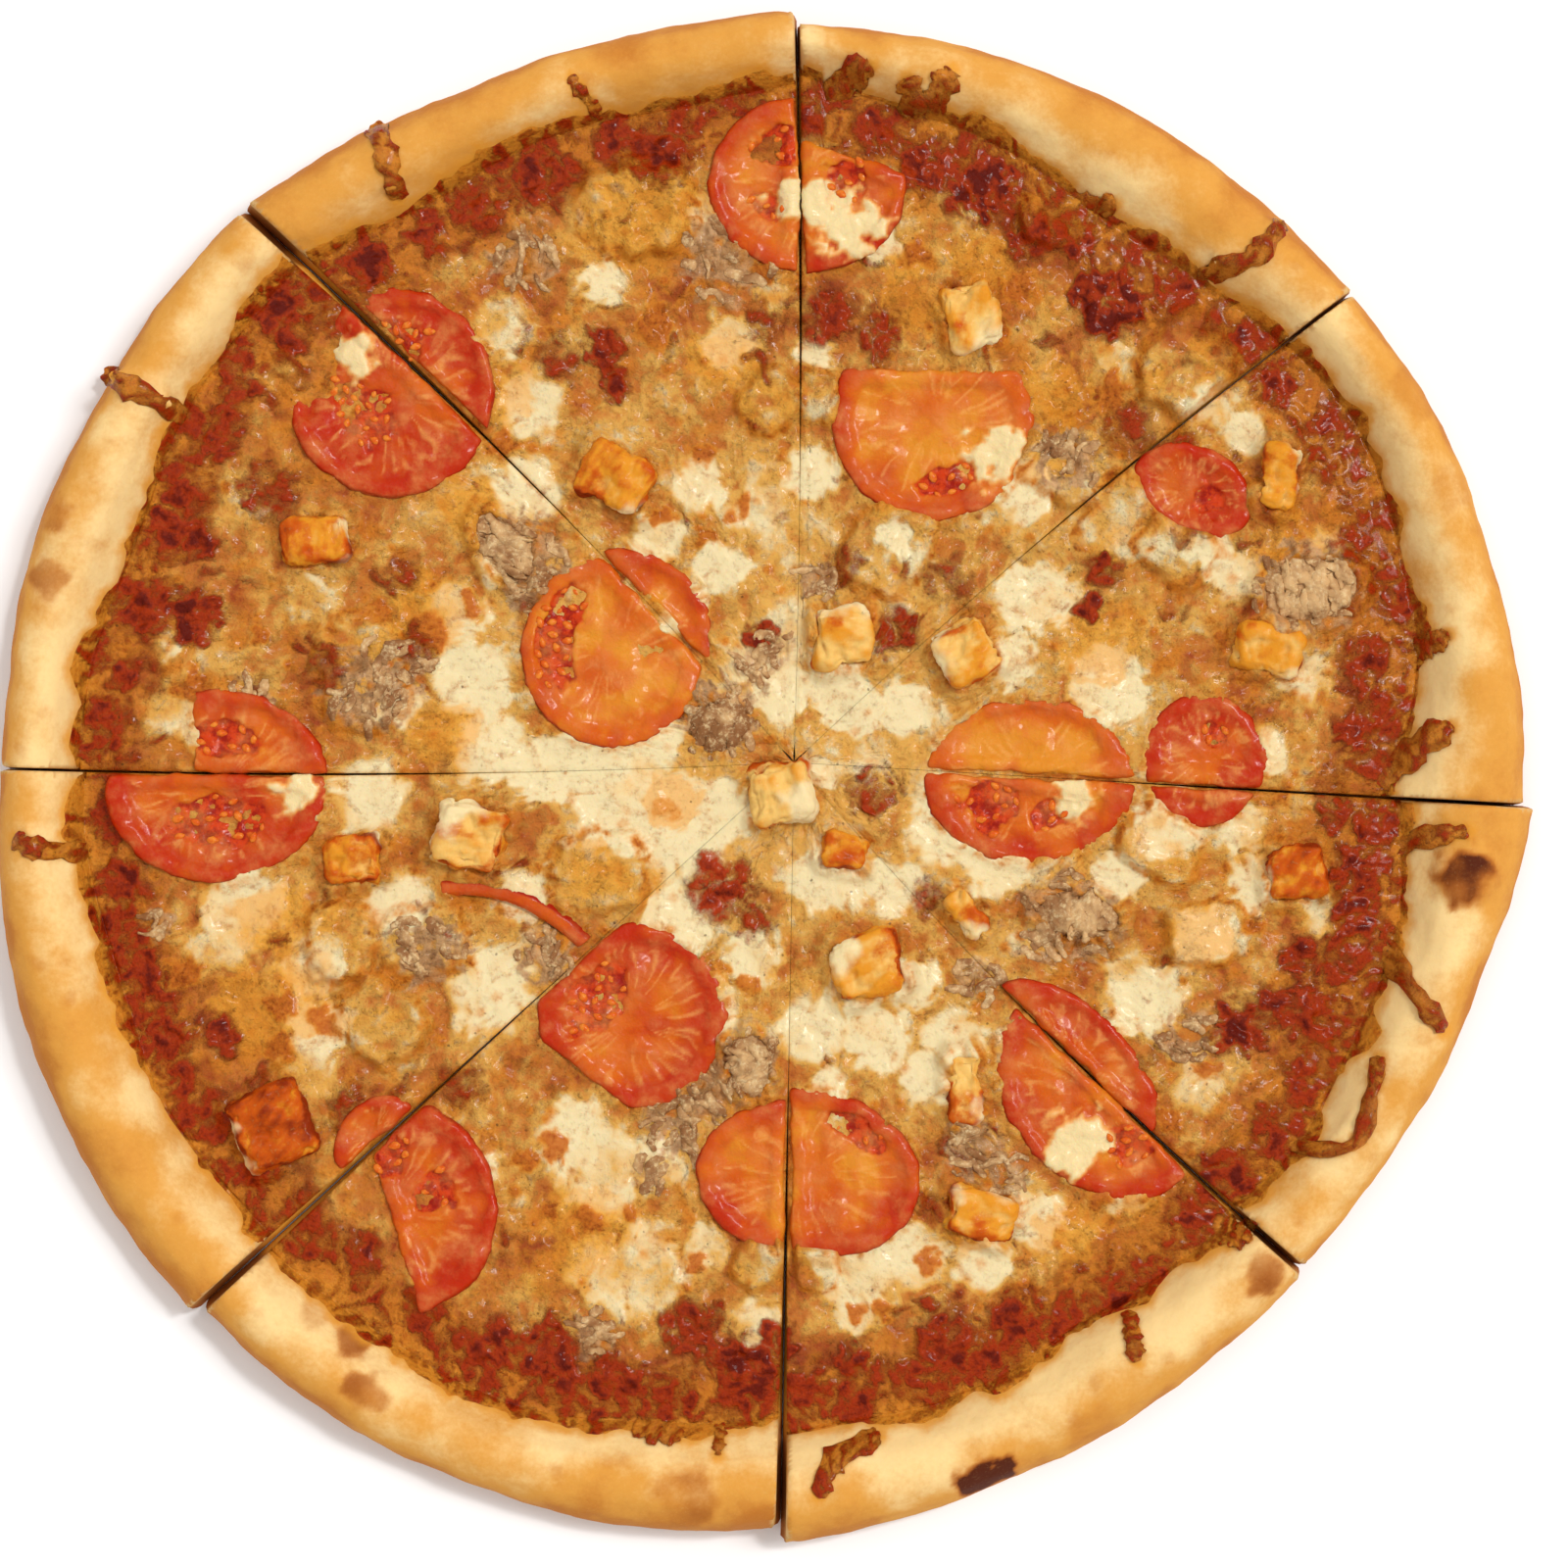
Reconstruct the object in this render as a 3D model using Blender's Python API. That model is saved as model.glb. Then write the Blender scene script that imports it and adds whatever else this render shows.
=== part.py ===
"""A round baked pizza, cut in eight slices that still lie together.

Frame: +Z up, z = 0 under the crust, and the origin under the middle of the whole outline.
+X is the right and +Y the top of the pizza seen from above. Lengths are in metres, and MM
turns the millimetres of the driving dimensions into metres. Everything is laid out round
the point where the cuts meet, and the whole is centred at the end.
"""
import math
import random
from dataclasses import dataclass

import bmesh
import bpy
from mathutils import Matrix, Vector

MM = 0.001

# Layers, in mm above the underside
DOUGH_TOP = 6.5
RIM_LIP = 8.6
LAYER_GAP = 0.3
TOPPING_BED = 8.6
CHEESE_TOP = 10.7

# Slices
TIP_RADIUS = 1.4
CUT_GAP = 0.5
GAP_OPENS_AT = 95.0
SLICE_STEPS = 10
BASE_STOPS = (0.34, 0.67)
CHEESE_ROWS = 8
CHEESE_COLUMNS = SLICE_STEPS
CHEESE_EDGE = 15.0
FOLD_SLICE = "6"
FOLD_PLACE = 0.4
FOLD_WIDTH = 0.045
FOLD_DEPTH = 2.6

# Rim cross-section: part of the rim's width from its inner edge, part of its height
RIM_PROFILE = (
    (0.02, 0.41), (0.14, 0.64), (0.32, 0.89), (0.52, 1.0), (0.72, 0.96),
    (0.88, 0.79), (0.975, 0.52), (1.0, 0.33), (0.97, 0.13), (0.90, 0.0),
)

# Toppings
TOMATO_THICK = 4.0
TOMATO_WALL = 3.0
TOMATO_SIDES = 16
SHORTEST_SIDE = 1.6
SKIN_BEVEL = 0.7
GEL_DEPTH = 1.1
GEL_SLOPE = 0.9
CUT_FACE_SETBACK = 0.15
CHICKEN_BEVEL = 1.3
MEAT_CORE_MIDDLE = 10.2
MEAT_CORE_RISE = 3.4
SHRED_WIDTH = 2.2
SHRED_THICK = 1.5
STRAND_THICK = 4.2
STRAND_STEPS = 3
STRAND_SIDES = 6
STRAND_SINK = 0.9
CROSSING_BEND = 15.0
ALONG_BEND = 90.0
SHREDS_A_HEAP = 5
SHRED_STEPS = 2

COLOURS = {
    "dough": ((0.62, 0.38, 0.15), 0.62),
    "cheese": ((0.72, 0.45, 0.16), 0.38),
    "tomato": ((0.60, 0.10, 0.03), 0.28),
    "chicken": ((0.72, 0.38, 0.09), 0.45),
    "meat": ((0.38, 0.24, 0.15), 0.60),
}


@dataclass(frozen=True)
class Cut:
    """A knife cut from the middle to the rim."""

    name: str
    angle: float
    rim_gap: float
    bow: float


@dataclass(frozen=True)
class Slice:
    """A slice, with its radii at its first cut, half-way and at its second cut."""

    name: str
    outer: tuple
    inner: tuple
    rim_height: float


@dataclass(frozen=True)
class Tomato:
    """A tomato slice or a piece of one, clipped by a cut and by straight chords."""

    name: str
    centre: tuple
    radii: tuple
    turn: float = 0.0
    cut: str = ""
    side: int = 0
    chords: tuple = ()


@dataclass(frozen=True)
class Chicken:
    """A chunk of roast chicken."""

    name: str
    centre: tuple
    size: tuple
    turn: float
    height: float = 8.5


@dataclass(frozen=True)
class Meat:
    """A small heap of shredded meat."""

    name: str
    centre: tuple
    radii: tuple
    turn: float = 0.0


# Angles in degrees, counter-clockwise from +X; a bow leans counter-clockwise
CUTS = (
    Cut("e", -3.4, 0.9, 0.0),
    Cut("ne", 40.1, 0.9, 2.6),
    Cut("n", 89.8, 1.2, -1.2),
    Cut("nw", 134.8, 3.2, -2.4),
    Cut("w", 180.4, 0.6, 2.0),
    Cut("sw", 222.5, 2.8, 0.0),
    Cut("s", 269.0, 2.4, 0.0),
    Cut("se", 315.0, 2.2, -2.8),
)
SLICES = (
    Slice("1", (167.2, 166.5, 166.6), (134.0, 147.5, 147.0), 20.5),
    Slice("2", (166.9, 167.8, 168.8), (146.0, 144.5, 157.0), 20.0),
    Slice("3", (171.8, 171.0, 178.6), (154.5, 151.5, 157.5), 21.0),
    Slice("4", (178.5, 180.2, 181.4), (159.5, 159.5, 163.0), 21.5),
    Slice("5", (181.4, 185.7, 186.3), (161.5, 162.5, 160.5), 22.0),
    Slice("6", (183.8, 181.3, 175.0), (163.0, 158.5, 149.5), 21.5),
    Slice("7", (178.4, 169.8, 165.0), (153.0, 146.0, 143.5), 21.0),
    Slice("8", (163.8, 164.2, 169.6), (142.0, 143.5, 137.5), 20.5),
)

# Lengths in mm from the point where the cuts meet
TOMATOES = (
    Tomato("tomato_1a", (2.7, 131.7), (22.6, 20.6), cut="n", side=1),
    Tomato("tomato_1b", (2.7, 131.7), (23.6, 20.6), cut="n", side=-1, chords=((72.0, 9.5),)),
    Tomato("tomato_2a", (-91.8, 84.0), (24.0, 24.0), cut="nw", side=1),
    Tomato("tomato_2b", (-91.8, 84.6), (24.0, 24.0), cut="nw", side=-1),
    Tomato("tomato_3", (31.6, 77.9), (23.5, 23.5), chords=((90.0, 11.5),)),
    Tomato("tomato_4a", (-41.4, 25.5), (21.5, 22.6), cut="nw", side=1),
    Tomato("tomato_4b", (-39.8, 27.0), (22.0, 22.4), cut="nw", side=-1),
    Tomato("tomato_5", (90.9, 61.8), (14.5, 10.5), turn=-25.0),
    Tomato("tomato_6a", (53.7, -3.6), (24.4, 18.6), cut="e", side=1),
    Tomato("tomato_6b", (53.7, -4.3), (24.4, 19.0), cut="e", side=-1),
    Tomato("tomato_7a", (93.6, 0.8), (14.6, 15.0), cut="e", side=1),
    Tomato("tomato_7b", (93.6, 0.8), (14.0, 15.6), turn=-8.0, cut="e", side=-1),
    Tomato("tomato_8a", (-130.8, -4.6), (25.2, 21.4), cut="w", side=-1, chords=((180.0, 6.0),)),
    Tomato("tomato_8b", (-131.7, -6.0), (25.7, 21.7), cut="w", side=1),
    Tomato("tomato_9", (-37.0, -57.8), (22.0, 21.4), cut="sw", side=1, chords=((232.0, 17.0),)),
    Tomato("tomato_10a", (-91.8, -101.7), (25.0, 25.0), cut="sw", side=1, chords=((197.0, 0.6),)),
    Tomato("tomato_10b", (-95.5, -85.0), (11.0, 8.0), turn=45.0, cut="sw", side=-1),
    Tomato("tomato_11a", (2.7, -95.2), (25.6, 18.6), turn=-8.0, cut="s", side=-1),
    Tomato("tomato_11b", (3.4, -93.4), (26.4, 19.2), turn=-12.0, cut="s", side=1),
    Tomato("tomato_12a", (64.0, -68.4), (24.5, 12.5), turn=-46.0, cut="se", side=1),
    Tomato("tomato_12b", (69.6, -75.6), (27.8, 20.4), turn=-46.0, cut="se", side=-1),
)
CHICKEN = (
    Chicken("chicken_1", (-40.3, 64.5), (20.0, 15.0), -25.0, 8.0),
    Chicken("chicken_2", (-108.6, 50.6), (18.0, 12.5), 3.0, 7.5),
    Chicken("chicken_3", (11.2, 28.7), (15.0, 16.0), 5.0),
    Chicken("chicken_4", (39.2, 25.3), (15.5, 15.5), 30.0, 9.0),
    Chicken("chicken_5", (40.3, 101.6), (14.0, 18.0), 15.0, 7.0),
    Chicken("chicken_6", (-100.3, -22.4), (15.5, 12.0), 5.0, 8.0),
    Chicken("chicken_7", (-73.9, -16.7), (18.0, 17.5), -15.0, 9.5),
    Chicken("chicken_8", (-118.7, -82.2), (19.5, 20.5), 25.0, 9.0),
    Chicken("chicken_9", (-2.7, -6.7), (16.0, 15.5), 10.0, 9.5),
    Chicken("chicken_10", (11.6, -19.9), (12.0, 9.5), -15.0, 8.0),
    Chicken("chicken_11", (16.8, -46.3), (18.0, 16.5), 15.0, 8.5),
    Chicken("chicken_12", (39.2, -34.2), (8.0, 14.5), 40.0, 8.0),
    Chicken("chicken_13", (38.8, -74.3), (9.0, 18.5), 0.0, 7.5),
    Chicken("chicken_14", (42.5, -102.3), (18.0, 13.0), -15.0, 8.0),
    Chicken("chicken_15", (114.2, -25.1), (15.5, 14.0), 10.0, 8.5),
    Chicken("chicken_16", (107.9, 25.6), (17.5, 12.0), -15.0, 7.5),
    Chicken("chicken_17", (110.4, 64.9), (10.0, 17.5), -10.0, 8.0),
)
MEAT = (
    Meat("meat_1", (-16.8, 8.6), (7.6, 6.8), -20.0),
    Meat("meat_2", (117.5, 39.4), (13.0, 9.0), 10.0),
    Meat("meat_3", (-66.0, 48.6), (6.2, 11.5), 35.0),
    Meat("meat_4", (-9.6, -68.7), (6.0, 8.6), 0.0),
    Meat("meat_5", (64.9, -34.6), (11.5, 6.0), -8.0),
)

# Chunks that lie under melted cheese: centre, radius and height of each mound
MOUNDS = (
    (-35.8, 126.0, 15.0, 4.5), (-5.5, 82.0, 9.0, 4.0), (5.5, 83.5, 7.0, 3.0),
    (87.3, 48.8, 11.0, 3.5), (60.5, 125.0, 10.0, 4.0), (89.6, 91.3, 14.0, 4.5),
    (-103.0, -40.7, 11.0, 4.0), (-94.0, -58.7, 12.0, 4.0), (-44.8, -25.1, 13.0, 3.5),
    (-7.8, -113.5, 8.0, 3.5), (5.0, -115.0, 7.0, 3.0), (84.0, -19.0, 11.0, 3.5),
    (94.0, -38.5, 11.0, 3.0), (21.3, 48.8, 13.0, 3.0), (-98.5, 20.0, 15.0, 3.0),
    (62.0, 69.0, 13.0, 3.5), (-85.0, -40.7, 12.0, 3.0), (75.0, 55.0, 12.0, 2.5),
)

# The curl of skin: middle, bend radius, length and turn in degrees
SKIN_CURL_CENTRE = (-62.5, -30.8)
SKIN_CURL_BEND = 38.0
SKIN_CURL_LENGTH = 36.5
SKIN_CURL_TURN = 69.0

# Baked strands of cheese on the rim: centre, length, direction in degrees, width
STRANDS = (
    (-92.8, 136.6, 15.0, -75.0, 4.0), (-148.0, 84.5, 17.0, -28.0, 4.0),
    (12.0, 154.0, 12.0, 30.0, 6.0), (30.5, 152.2, 15.0, 52.0, 6.5),
    (103.5, 117.6, 19.0, 32.0, 4.5), (142.0, 2.5, 16.0, 38.0, 6.5),
    (139.5, -46.0, 26.0, -62.0, 4.0), (126.5, -82.5, 15.0, 45.0, 3.5),
    (12.5, -159.0, 14.0, 42.0, 5.0), (-172.0, -18.0, 8.0, -60.0, 5.0),
)


def through_three(values, place):
    """Smooth curve through the values at 0, 0.5 and 1."""
    first, middle, last = values
    return (first * (1 - place) * (1 - 2 * place)
            + middle * 4 * place * (1 - place)
            + last * place * (2 * place - 1))


def smooth(value):
    """Ease from 0 to 1."""
    value = min(max(value, 0.0), 1.0)
    return value * value * (3 - 2 * value)


def slice_index(name):
    """Number of the slice on the counter-clockwise side of a named cut."""
    return next(i for i, cut in enumerate(CUTS) if cut.name == name)


def cut_after(index):
    """The cut at the counter-clockwise end of a slice, past its first cut in angle."""
    if index + 1 < len(CUTS):
        return CUTS[index + 1], CUTS[index + 1].angle
    return CUTS[0], CUTS[0].angle + 360.0


def cut_lean(cut, radius):
    """How far a cut has wandered sideways at a radius."""
    length = SLICES[slice_index(cut.name)].outer[0]
    part = min(radius / length, 1.0)
    return cut.bow * 4 * part * (1 - part)


def cut_half_gap(cut, radius):
    """Half the width of a cut at a radius."""
    length = SLICES[slice_index(cut.name)].outer[0]
    opened = smooth((radius - GAP_OPENS_AT) / (length - GAP_OPENS_AT))
    return 0.5 * (CUT_GAP + (cut.rim_gap - CUT_GAP) * opened)


def slice_angle(index, place, radius):
    """Angle in radians of a point between a slice's two cuts."""
    first = CUTS[index]
    second, second_angle = cut_after(index)
    low = math.radians(first.angle) + (cut_lean(first, radius) + cut_half_gap(first, radius)) / radius
    high = math.radians(second_angle) + (cut_lean(second, radius) - cut_half_gap(second, radius)) / radius
    return low + (high - low) * place


def outer_radius(index, place):
    """Outline of a slice's rim."""
    ripple = 0.5 * math.sin(11.0 * place + 2.3 * index) * math.sin(math.pi * place)
    return through_three(SLICES[index].outer, place) + ripple


def inner_radius(index, place):
    """Where a slice's rim rises out of the topping."""
    ripple = 1.6 * math.sin(9.0 * place + 1.9 * index) * math.sin(math.pi * place)
    return through_three(SLICES[index].inner, place) + ripple


def rim_height(index, place):
    """Height of the rim's crest, with a fold where the dough was folded over."""
    chosen = SLICES[index]
    height = chosen.rim_height + 0.8 * math.sin(8.0 * place + 1.3 * index)
    if chosen.name == FOLD_SLICE:
        height -= FOLD_DEPTH * math.exp(-((place - FOLD_PLACE) / FOLD_WIDTH) ** 2)
    return height


def dough_profile(index, place):
    """Cross-section of a slice of dough: over the base, round the rim and back underneath."""
    inner = inner_radius(index, place)
    width = outer_radius(index, place) - inner - LAYER_GAP
    height = rim_height(index, place)
    stops = [TIP_RADIUS] + [inner * stop for stop in BASE_STOPS] + [inner + LAYER_GAP]
    top = [(stop, DOUGH_TOP) for stop in stops]
    rim = [(inner + LAYER_GAP + width * across, height * up) for across, up in RIM_PROFILE]
    under = [(stop, 0.0) for stop in reversed(stops)]
    return top + rim + under


def cheese_height(index, place, radius):
    """Top of the melted cheese, lumpy and thinner towards the rim."""
    angle = slice_angle(index, place, radius)
    x = radius * math.cos(angle)
    y = radius * math.sin(angle)
    lumps = 0.5 * math.sin(x / 6.1 + 1.0) * math.cos(y / 5.3) + 0.35 * math.sin((x + y) / 4.1)
    mounds = 0.0
    for mound_x, mound_y, size, height in MOUNDS:
        mounds = max(mounds, height * smooth(1.25 - math.hypot(x - mound_x, y - mound_y) / size))
    rising = smooth((inner_radius(index, place) - radius) / CHEESE_EDGE)
    return RIM_LIP + (CHEESE_TOP + lumps + mounds - RIM_LIP) * rising


def material(kind):
    """The finish of one kind of piece, made once."""
    existing = bpy.data.materials.get(kind)
    if existing:
        return existing
    colour, roughness = COLOURS[kind]
    made = bpy.data.materials.new(kind)
    made.use_nodes = True
    shader = made.node_tree.nodes["Principled BSDF"]
    shader.inputs["Base Color"].default_value = (*colour, 1.0)
    shader.inputs["Roughness"].default_value = roughness
    shader.inputs["Metallic"].default_value = 0.0
    return made


def add_object(name, bm, kind):
    """Turn a bmesh in millimetres into an object in metres."""
    bmesh.ops.recalc_face_normals(bm, faces=bm.faces)
    if bm.calc_volume(signed=True) < 0:
        bmesh.ops.reverse_faces(bm, faces=bm.faces)
    bmesh.ops.scale(bm, vec=(MM, MM, MM), verts=bm.verts)
    mesh = bpy.data.meshes.new(name)
    bm.to_mesh(mesh)
    bm.free()
    mesh.materials.append(material(kind))
    mesh.shade_smooth()
    mesh.set_sharp_from_angle(angle=math.radians(35.0))
    made = bpy.data.objects.new(name, mesh)
    bpy.context.scene.collection.objects.link(made)
    return made


def join_flat(target, *heights):
    """Make one face of all those that lie at each height of a finished object."""
    bm = bmesh.new()
    bm.from_mesh(target.data)
    for height in heights:
        level = height * MM
        flat = [face for face in bm.faces if all(abs(v.co.z - level) < 1e-6 for v in face.verts)]
        bmesh.ops.dissolve_faces(bm, faces=flat)
    bm.to_mesh(target.data)
    bm.free()


def apply_boolean(target, helpers, operation):
    """Cut or join a target with a list of helper objects, then delete the helpers."""
    if not helpers:
        return
    group = bpy.data.collections.new("helpers")
    bpy.context.scene.collection.children.link(group)
    for helper in helpers:
        group.objects.link(helper)
        helper.hide_render = True
        helper.display_type = "WIRE"
    modifier = target.modifiers.new(operation.lower(), "BOOLEAN")
    modifier.operation = operation
    modifier.operand_type = "COLLECTION"
    modifier.collection = group
    modifier.solver = "EXACT"
    bpy.context.view_layer.update()
    evaluated = target.evaluated_get(bpy.context.evaluated_depsgraph_get())
    mesh = bpy.data.meshes.new_from_object(evaluated)
    target.modifiers.clear()
    target.data = mesh
    mesh.materials.clear()
    mesh.materials.append(material(target.name.split("_")[0]))
    for helper in helpers:
        bpy.data.objects.remove(helper)
    bpy.data.collections.remove(group)


def drop_scraps(target):
    """Keep only the largest connected part of a mesh."""
    bm = bmesh.new()
    bm.from_mesh(target.data)
    left = set(bm.verts)
    islands = []
    while left:
        island = set()
        front = [left.pop()]
        while front:
            vert = front.pop()
            island.add(vert)
            near = [edge.other_vert(vert) for edge in vert.link_edges]
            fresh = [v for v in near if v in left]
            left.difference_update(fresh)
            front.extend(fresh)
        islands.append(island)
    islands.sort(key=len)
    for island in islands[:-1]:
        bmesh.ops.delete(bm, geom=list(island), context="VERTS")
    bm.to_mesh(target.data)
    bm.free()


def dough_slice(index):
    """Base and puffed rim of one slice: a cross-section spun from cut to cut."""
    bm = bmesh.new()
    profile = dough_profile(index, 0.0)
    verts = [bm.verts.new((radius, 0.0, height)) for radius, height in profile]
    panels = len(BASE_STOPS) + 1
    for panel in range(panels):
        bm.faces.new((verts[panel], verts[panel + 1], verts[-2 - panel], verts[-1 - panel]))
    bm.faces.new(verts[panels:-panels])
    first = CUTS[index].angle
    _, last = cut_after(index)
    section = bm.verts[:] + bm.edges[:] + bm.faces[:]
    bmesh.ops.spin(bm, geom=section, cent=(0, 0, 0), axis=(0, 0, 1),
                   angle=math.radians(last - first), steps=SLICE_STEPS)
    bm.verts.ensure_lookup_table()
    spread = math.radians(last - first) / SLICE_STEPS
    for vert in bm.verts:
        turned = math.atan2(vert.co.y, vert.co.x) % math.tau
        step = round(turned / spread) % round(math.tau / spread)
        flat_radius = math.hypot(vert.co.x, vert.co.y)
        row = min(range(len(profile)),
                  key=lambda i: abs(profile[i][0] - flat_radius) + abs(profile[i][1] - vert.co.z))
        place = step / SLICE_STEPS
        radius, height = dough_profile(index, place)[row]
        angle = slice_angle(index, place, radius)
        vert.co = (radius * math.cos(angle), radius * math.sin(angle), height)
    return add_object(f"dough_{SLICES[index].name}", bm, "dough")


def cheese_slice(index):
    """Sauce and melted cheese of one slice, flat below and lumpy on top."""
    bm = bmesh.new()
    bmesh.ops.create_grid(bm, x_segments=CHEESE_ROWS, y_segments=CHEESE_COLUMNS, size=0.5)
    bottom = DOUGH_TOP + LAYER_GAP
    extruded = bmesh.ops.extrude_face_region(bm, geom=bm.faces[:])["geom"]
    upper = {item for item in extruded if isinstance(item, bmesh.types.BMVert)}
    for vert in bm.verts:
        along = vert.co.x + 0.5
        place = vert.co.y + 0.5
        radius = TIP_RADIUS + (inner_radius(index, place) - TIP_RADIUS) * along
        angle = slice_angle(index, place, radius)
        height = cheese_height(index, place, radius) if vert in upper else bottom
        vert.co = (radius * math.cos(angle), radius * math.sin(angle), height)
    return add_object(f"cheese_{SLICES[index].name}", bm, "cheese")


def cut_chord(piece):
    """The straight line along a cut that clips a piece: outward direction and a point on it."""
    cut = CUTS[slice_index(piece.cut)]
    direction = math.radians(cut.angle)
    along = Vector((math.cos(direction), math.sin(direction), 0.0))
    radius = Vector((*piece.centre, 0.0)).dot(along)
    step = 1.0
    slope = (cut_lean(cut, radius + step) - cut_lean(cut, radius - step)) / (2 * step)
    leftward = Vector((-along.y, along.x, 0.0))
    line = (along + leftward * slope).normalized()
    outward = Vector((line.y, -line.x, 0.0)) * piece.side
    half_gap = cut_half_gap(cut, radius) + CUT_FACE_SETBACK
    point = along * radius + leftward * cut_lean(cut, radius) - outward * half_gap
    return outward, point


def tomato_outline(bm, piece, grow, overshoot):
    """Flat clipped outline of a tomato piece at height zero."""
    bmesh.ops.create_circle(bm, cap_ends=True, segments=TOMATO_SIDES, radius=1.0)
    size = Matrix.Diagonal((piece.radii[0] + grow, piece.radii[1] + grow, 1.0, 1.0))
    turn = Matrix.Rotation(math.radians(piece.turn), 4, "Z")
    place = Matrix.Translation((*piece.centre, 0.0))
    bmesh.ops.transform(bm, matrix=place @ turn @ size, verts=bm.verts)
    lines = []
    for degrees, offset in piece.chords:
        outward = Vector((math.cos(math.radians(degrees)), math.sin(math.radians(degrees)), 0.0))
        lines.append((outward, Vector((*piece.centre, 0.0)) + outward * (offset + grow)))
    if piece.cut:
        outward, point = cut_chord(piece)
        lines.append((outward, point + outward * overshoot))
    for outward, point in lines:
        everything = bm.verts[:] + bm.edges[:] + bm.faces[:]
        bmesh.ops.bisect_plane(bm, geom=everything, plane_co=point, plane_no=outward, clear_outer=True)


def tilt_of(name, most):
    """A small lean that is the same each time for a named piece."""
    draw = random.Random(name)
    return (Matrix.Rotation(math.radians(draw.uniform(-most, most)), 4, "X")
            @ Matrix.Rotation(math.radians(draw.uniform(-most, most)), 4, "Y"))


def settle(bm, centre, lean, height):
    """Lean a piece about its own centre and lift it to its bed."""
    at = Vector((*centre, 0.0))
    matrix = Matrix.Translation(at + Vector((0, 0, height))) @ lean @ Matrix.Translation(-at)
    bmesh.ops.transform(bm, matrix=matrix, verts=bm.verts)


def draw_in(bm, faces, width, drop):
    """Draw faces in towards their own middle by about a width, and sink them."""
    bmesh.ops.inset_region(bm, faces=faces, thickness=0.0, depth=0.0)
    verts = {vert for face in faces for vert in face.verts}
    middle = sum((vert.co for vert in verts), Vector()) / len(verts)
    reach = math.sqrt(sum(face.calc_area() for face in faces) / math.pi)
    for vert in verts:
        vert.co = middle + (vert.co - middle) * (1.0 - width / reach)
        vert.co.z -= drop


def tomato(piece):
    """A tomato piece with its rounded skin edge and the sunken gel inside the wall."""
    bm = bmesh.new()
    tomato_outline(bm, piece, 0.0, 0.0)
    bmesh.ops.remove_doubles(bm, verts=bm.verts, dist=SHORTEST_SIDE)
    raised = bmesh.ops.extrude_face_region(bm, geom=bm.faces[:])["geom"]
    top_verts = [item for item in raised if isinstance(item, bmesh.types.BMVert)]
    bmesh.ops.translate(bm, vec=(0, 0, TOMATO_THICK), verts=top_verts)
    top_edges = [edge for edge in bm.edges if all(v in top_verts for v in edge.verts)]
    bmesh.ops.bevel(bm, geom=top_edges, offset=SKIN_BEVEL, offset_type="OFFSET", segments=1,
                    profile=0.5, affect="EDGES", clamp_overlap=True, material=-1)
    inside = [face for face in bm.faces if all(v.co.z > TOMATO_THICK - 1e-4 for v in face.verts)]
    draw_in(bm, inside, min(TOMATO_WALL, 0.3 * min(piece.radii)), 0.0)
    draw_in(bm, inside, GEL_SLOPE, GEL_DEPTH)
    settle(bm, piece.centre, tilt_of(piece.name, 2.0), TOPPING_BED)
    return add_object(piece.name, bm, "tomato")


def tomato_cutter(piece):
    """The hollow that a tomato piece fills in the cheese."""
    bm = bmesh.new()
    tomato_outline(bm, piece, LAYER_GAP, 3.0)
    raised = bmesh.ops.extrude_face_region(bm, geom=bm.faces[:])["geom"]
    top_verts = [item for item in raised if isinstance(item, bmesh.types.BMVert)]
    bmesh.ops.translate(bm, vec=(0, 0, 3 * TOMATO_THICK), verts=top_verts)
    settle(bm, piece.centre, tilt_of(piece.name, 2.0), TOPPING_BED - LAYER_GAP)
    return add_object("cutter", bm, "tomato")


def chicken_block(piece, grow):
    """A rough block with slanting sides, before its edges are worn."""
    draw = random.Random(piece.name)
    bm = bmesh.new()
    bmesh.ops.create_cube(bm, size=1.0)
    for vert in bm.verts:
        raised = vert.co.z > 0
        taper = 0.86 if raised else 1.0
        slope = draw.uniform(-0.9, 0.9) if raised else 0.0
        vert.co.x *= piece.size[0] * taper * draw.uniform(0.88, 1.0) + 2 * grow
        vert.co.y *= piece.size[1] * taper * draw.uniform(0.88, 1.0) + 2 * grow
        vert.co.z = (vert.co.z + 0.5) * (piece.height + 2 * grow) + slope
    turn = Matrix.Rotation(math.radians(piece.turn), 4, "Z")
    bmesh.ops.transform(bm, matrix=Matrix.Translation((*piece.centre, 0.0)) @ turn, verts=bm.verts)
    return bm


def chicken(piece):
    """A chunk of chicken with worn edges."""
    bm = chicken_block(piece, 0.0)
    bmesh.ops.bevel(bm, geom=bm.edges[:], offset=CHICKEN_BEVEL, offset_type="OFFSET", segments=1,
                    profile=0.5, affect="EDGES", clamp_overlap=True, material=-1)
    settle(bm, piece.centre, tilt_of(piece.name, 3.0), TOPPING_BED)
    return add_object(piece.name, bm, "chicken")


def chicken_cutter(piece):
    """The hollow that a chunk of chicken fills in the cheese."""
    bm = chicken_block(piece, LAYER_GAP)
    settle(bm, piece.centre, tilt_of(piece.name, 3.0), TOPPING_BED - LAYER_GAP)
    return add_object("cutter", bm, "chicken")


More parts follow.
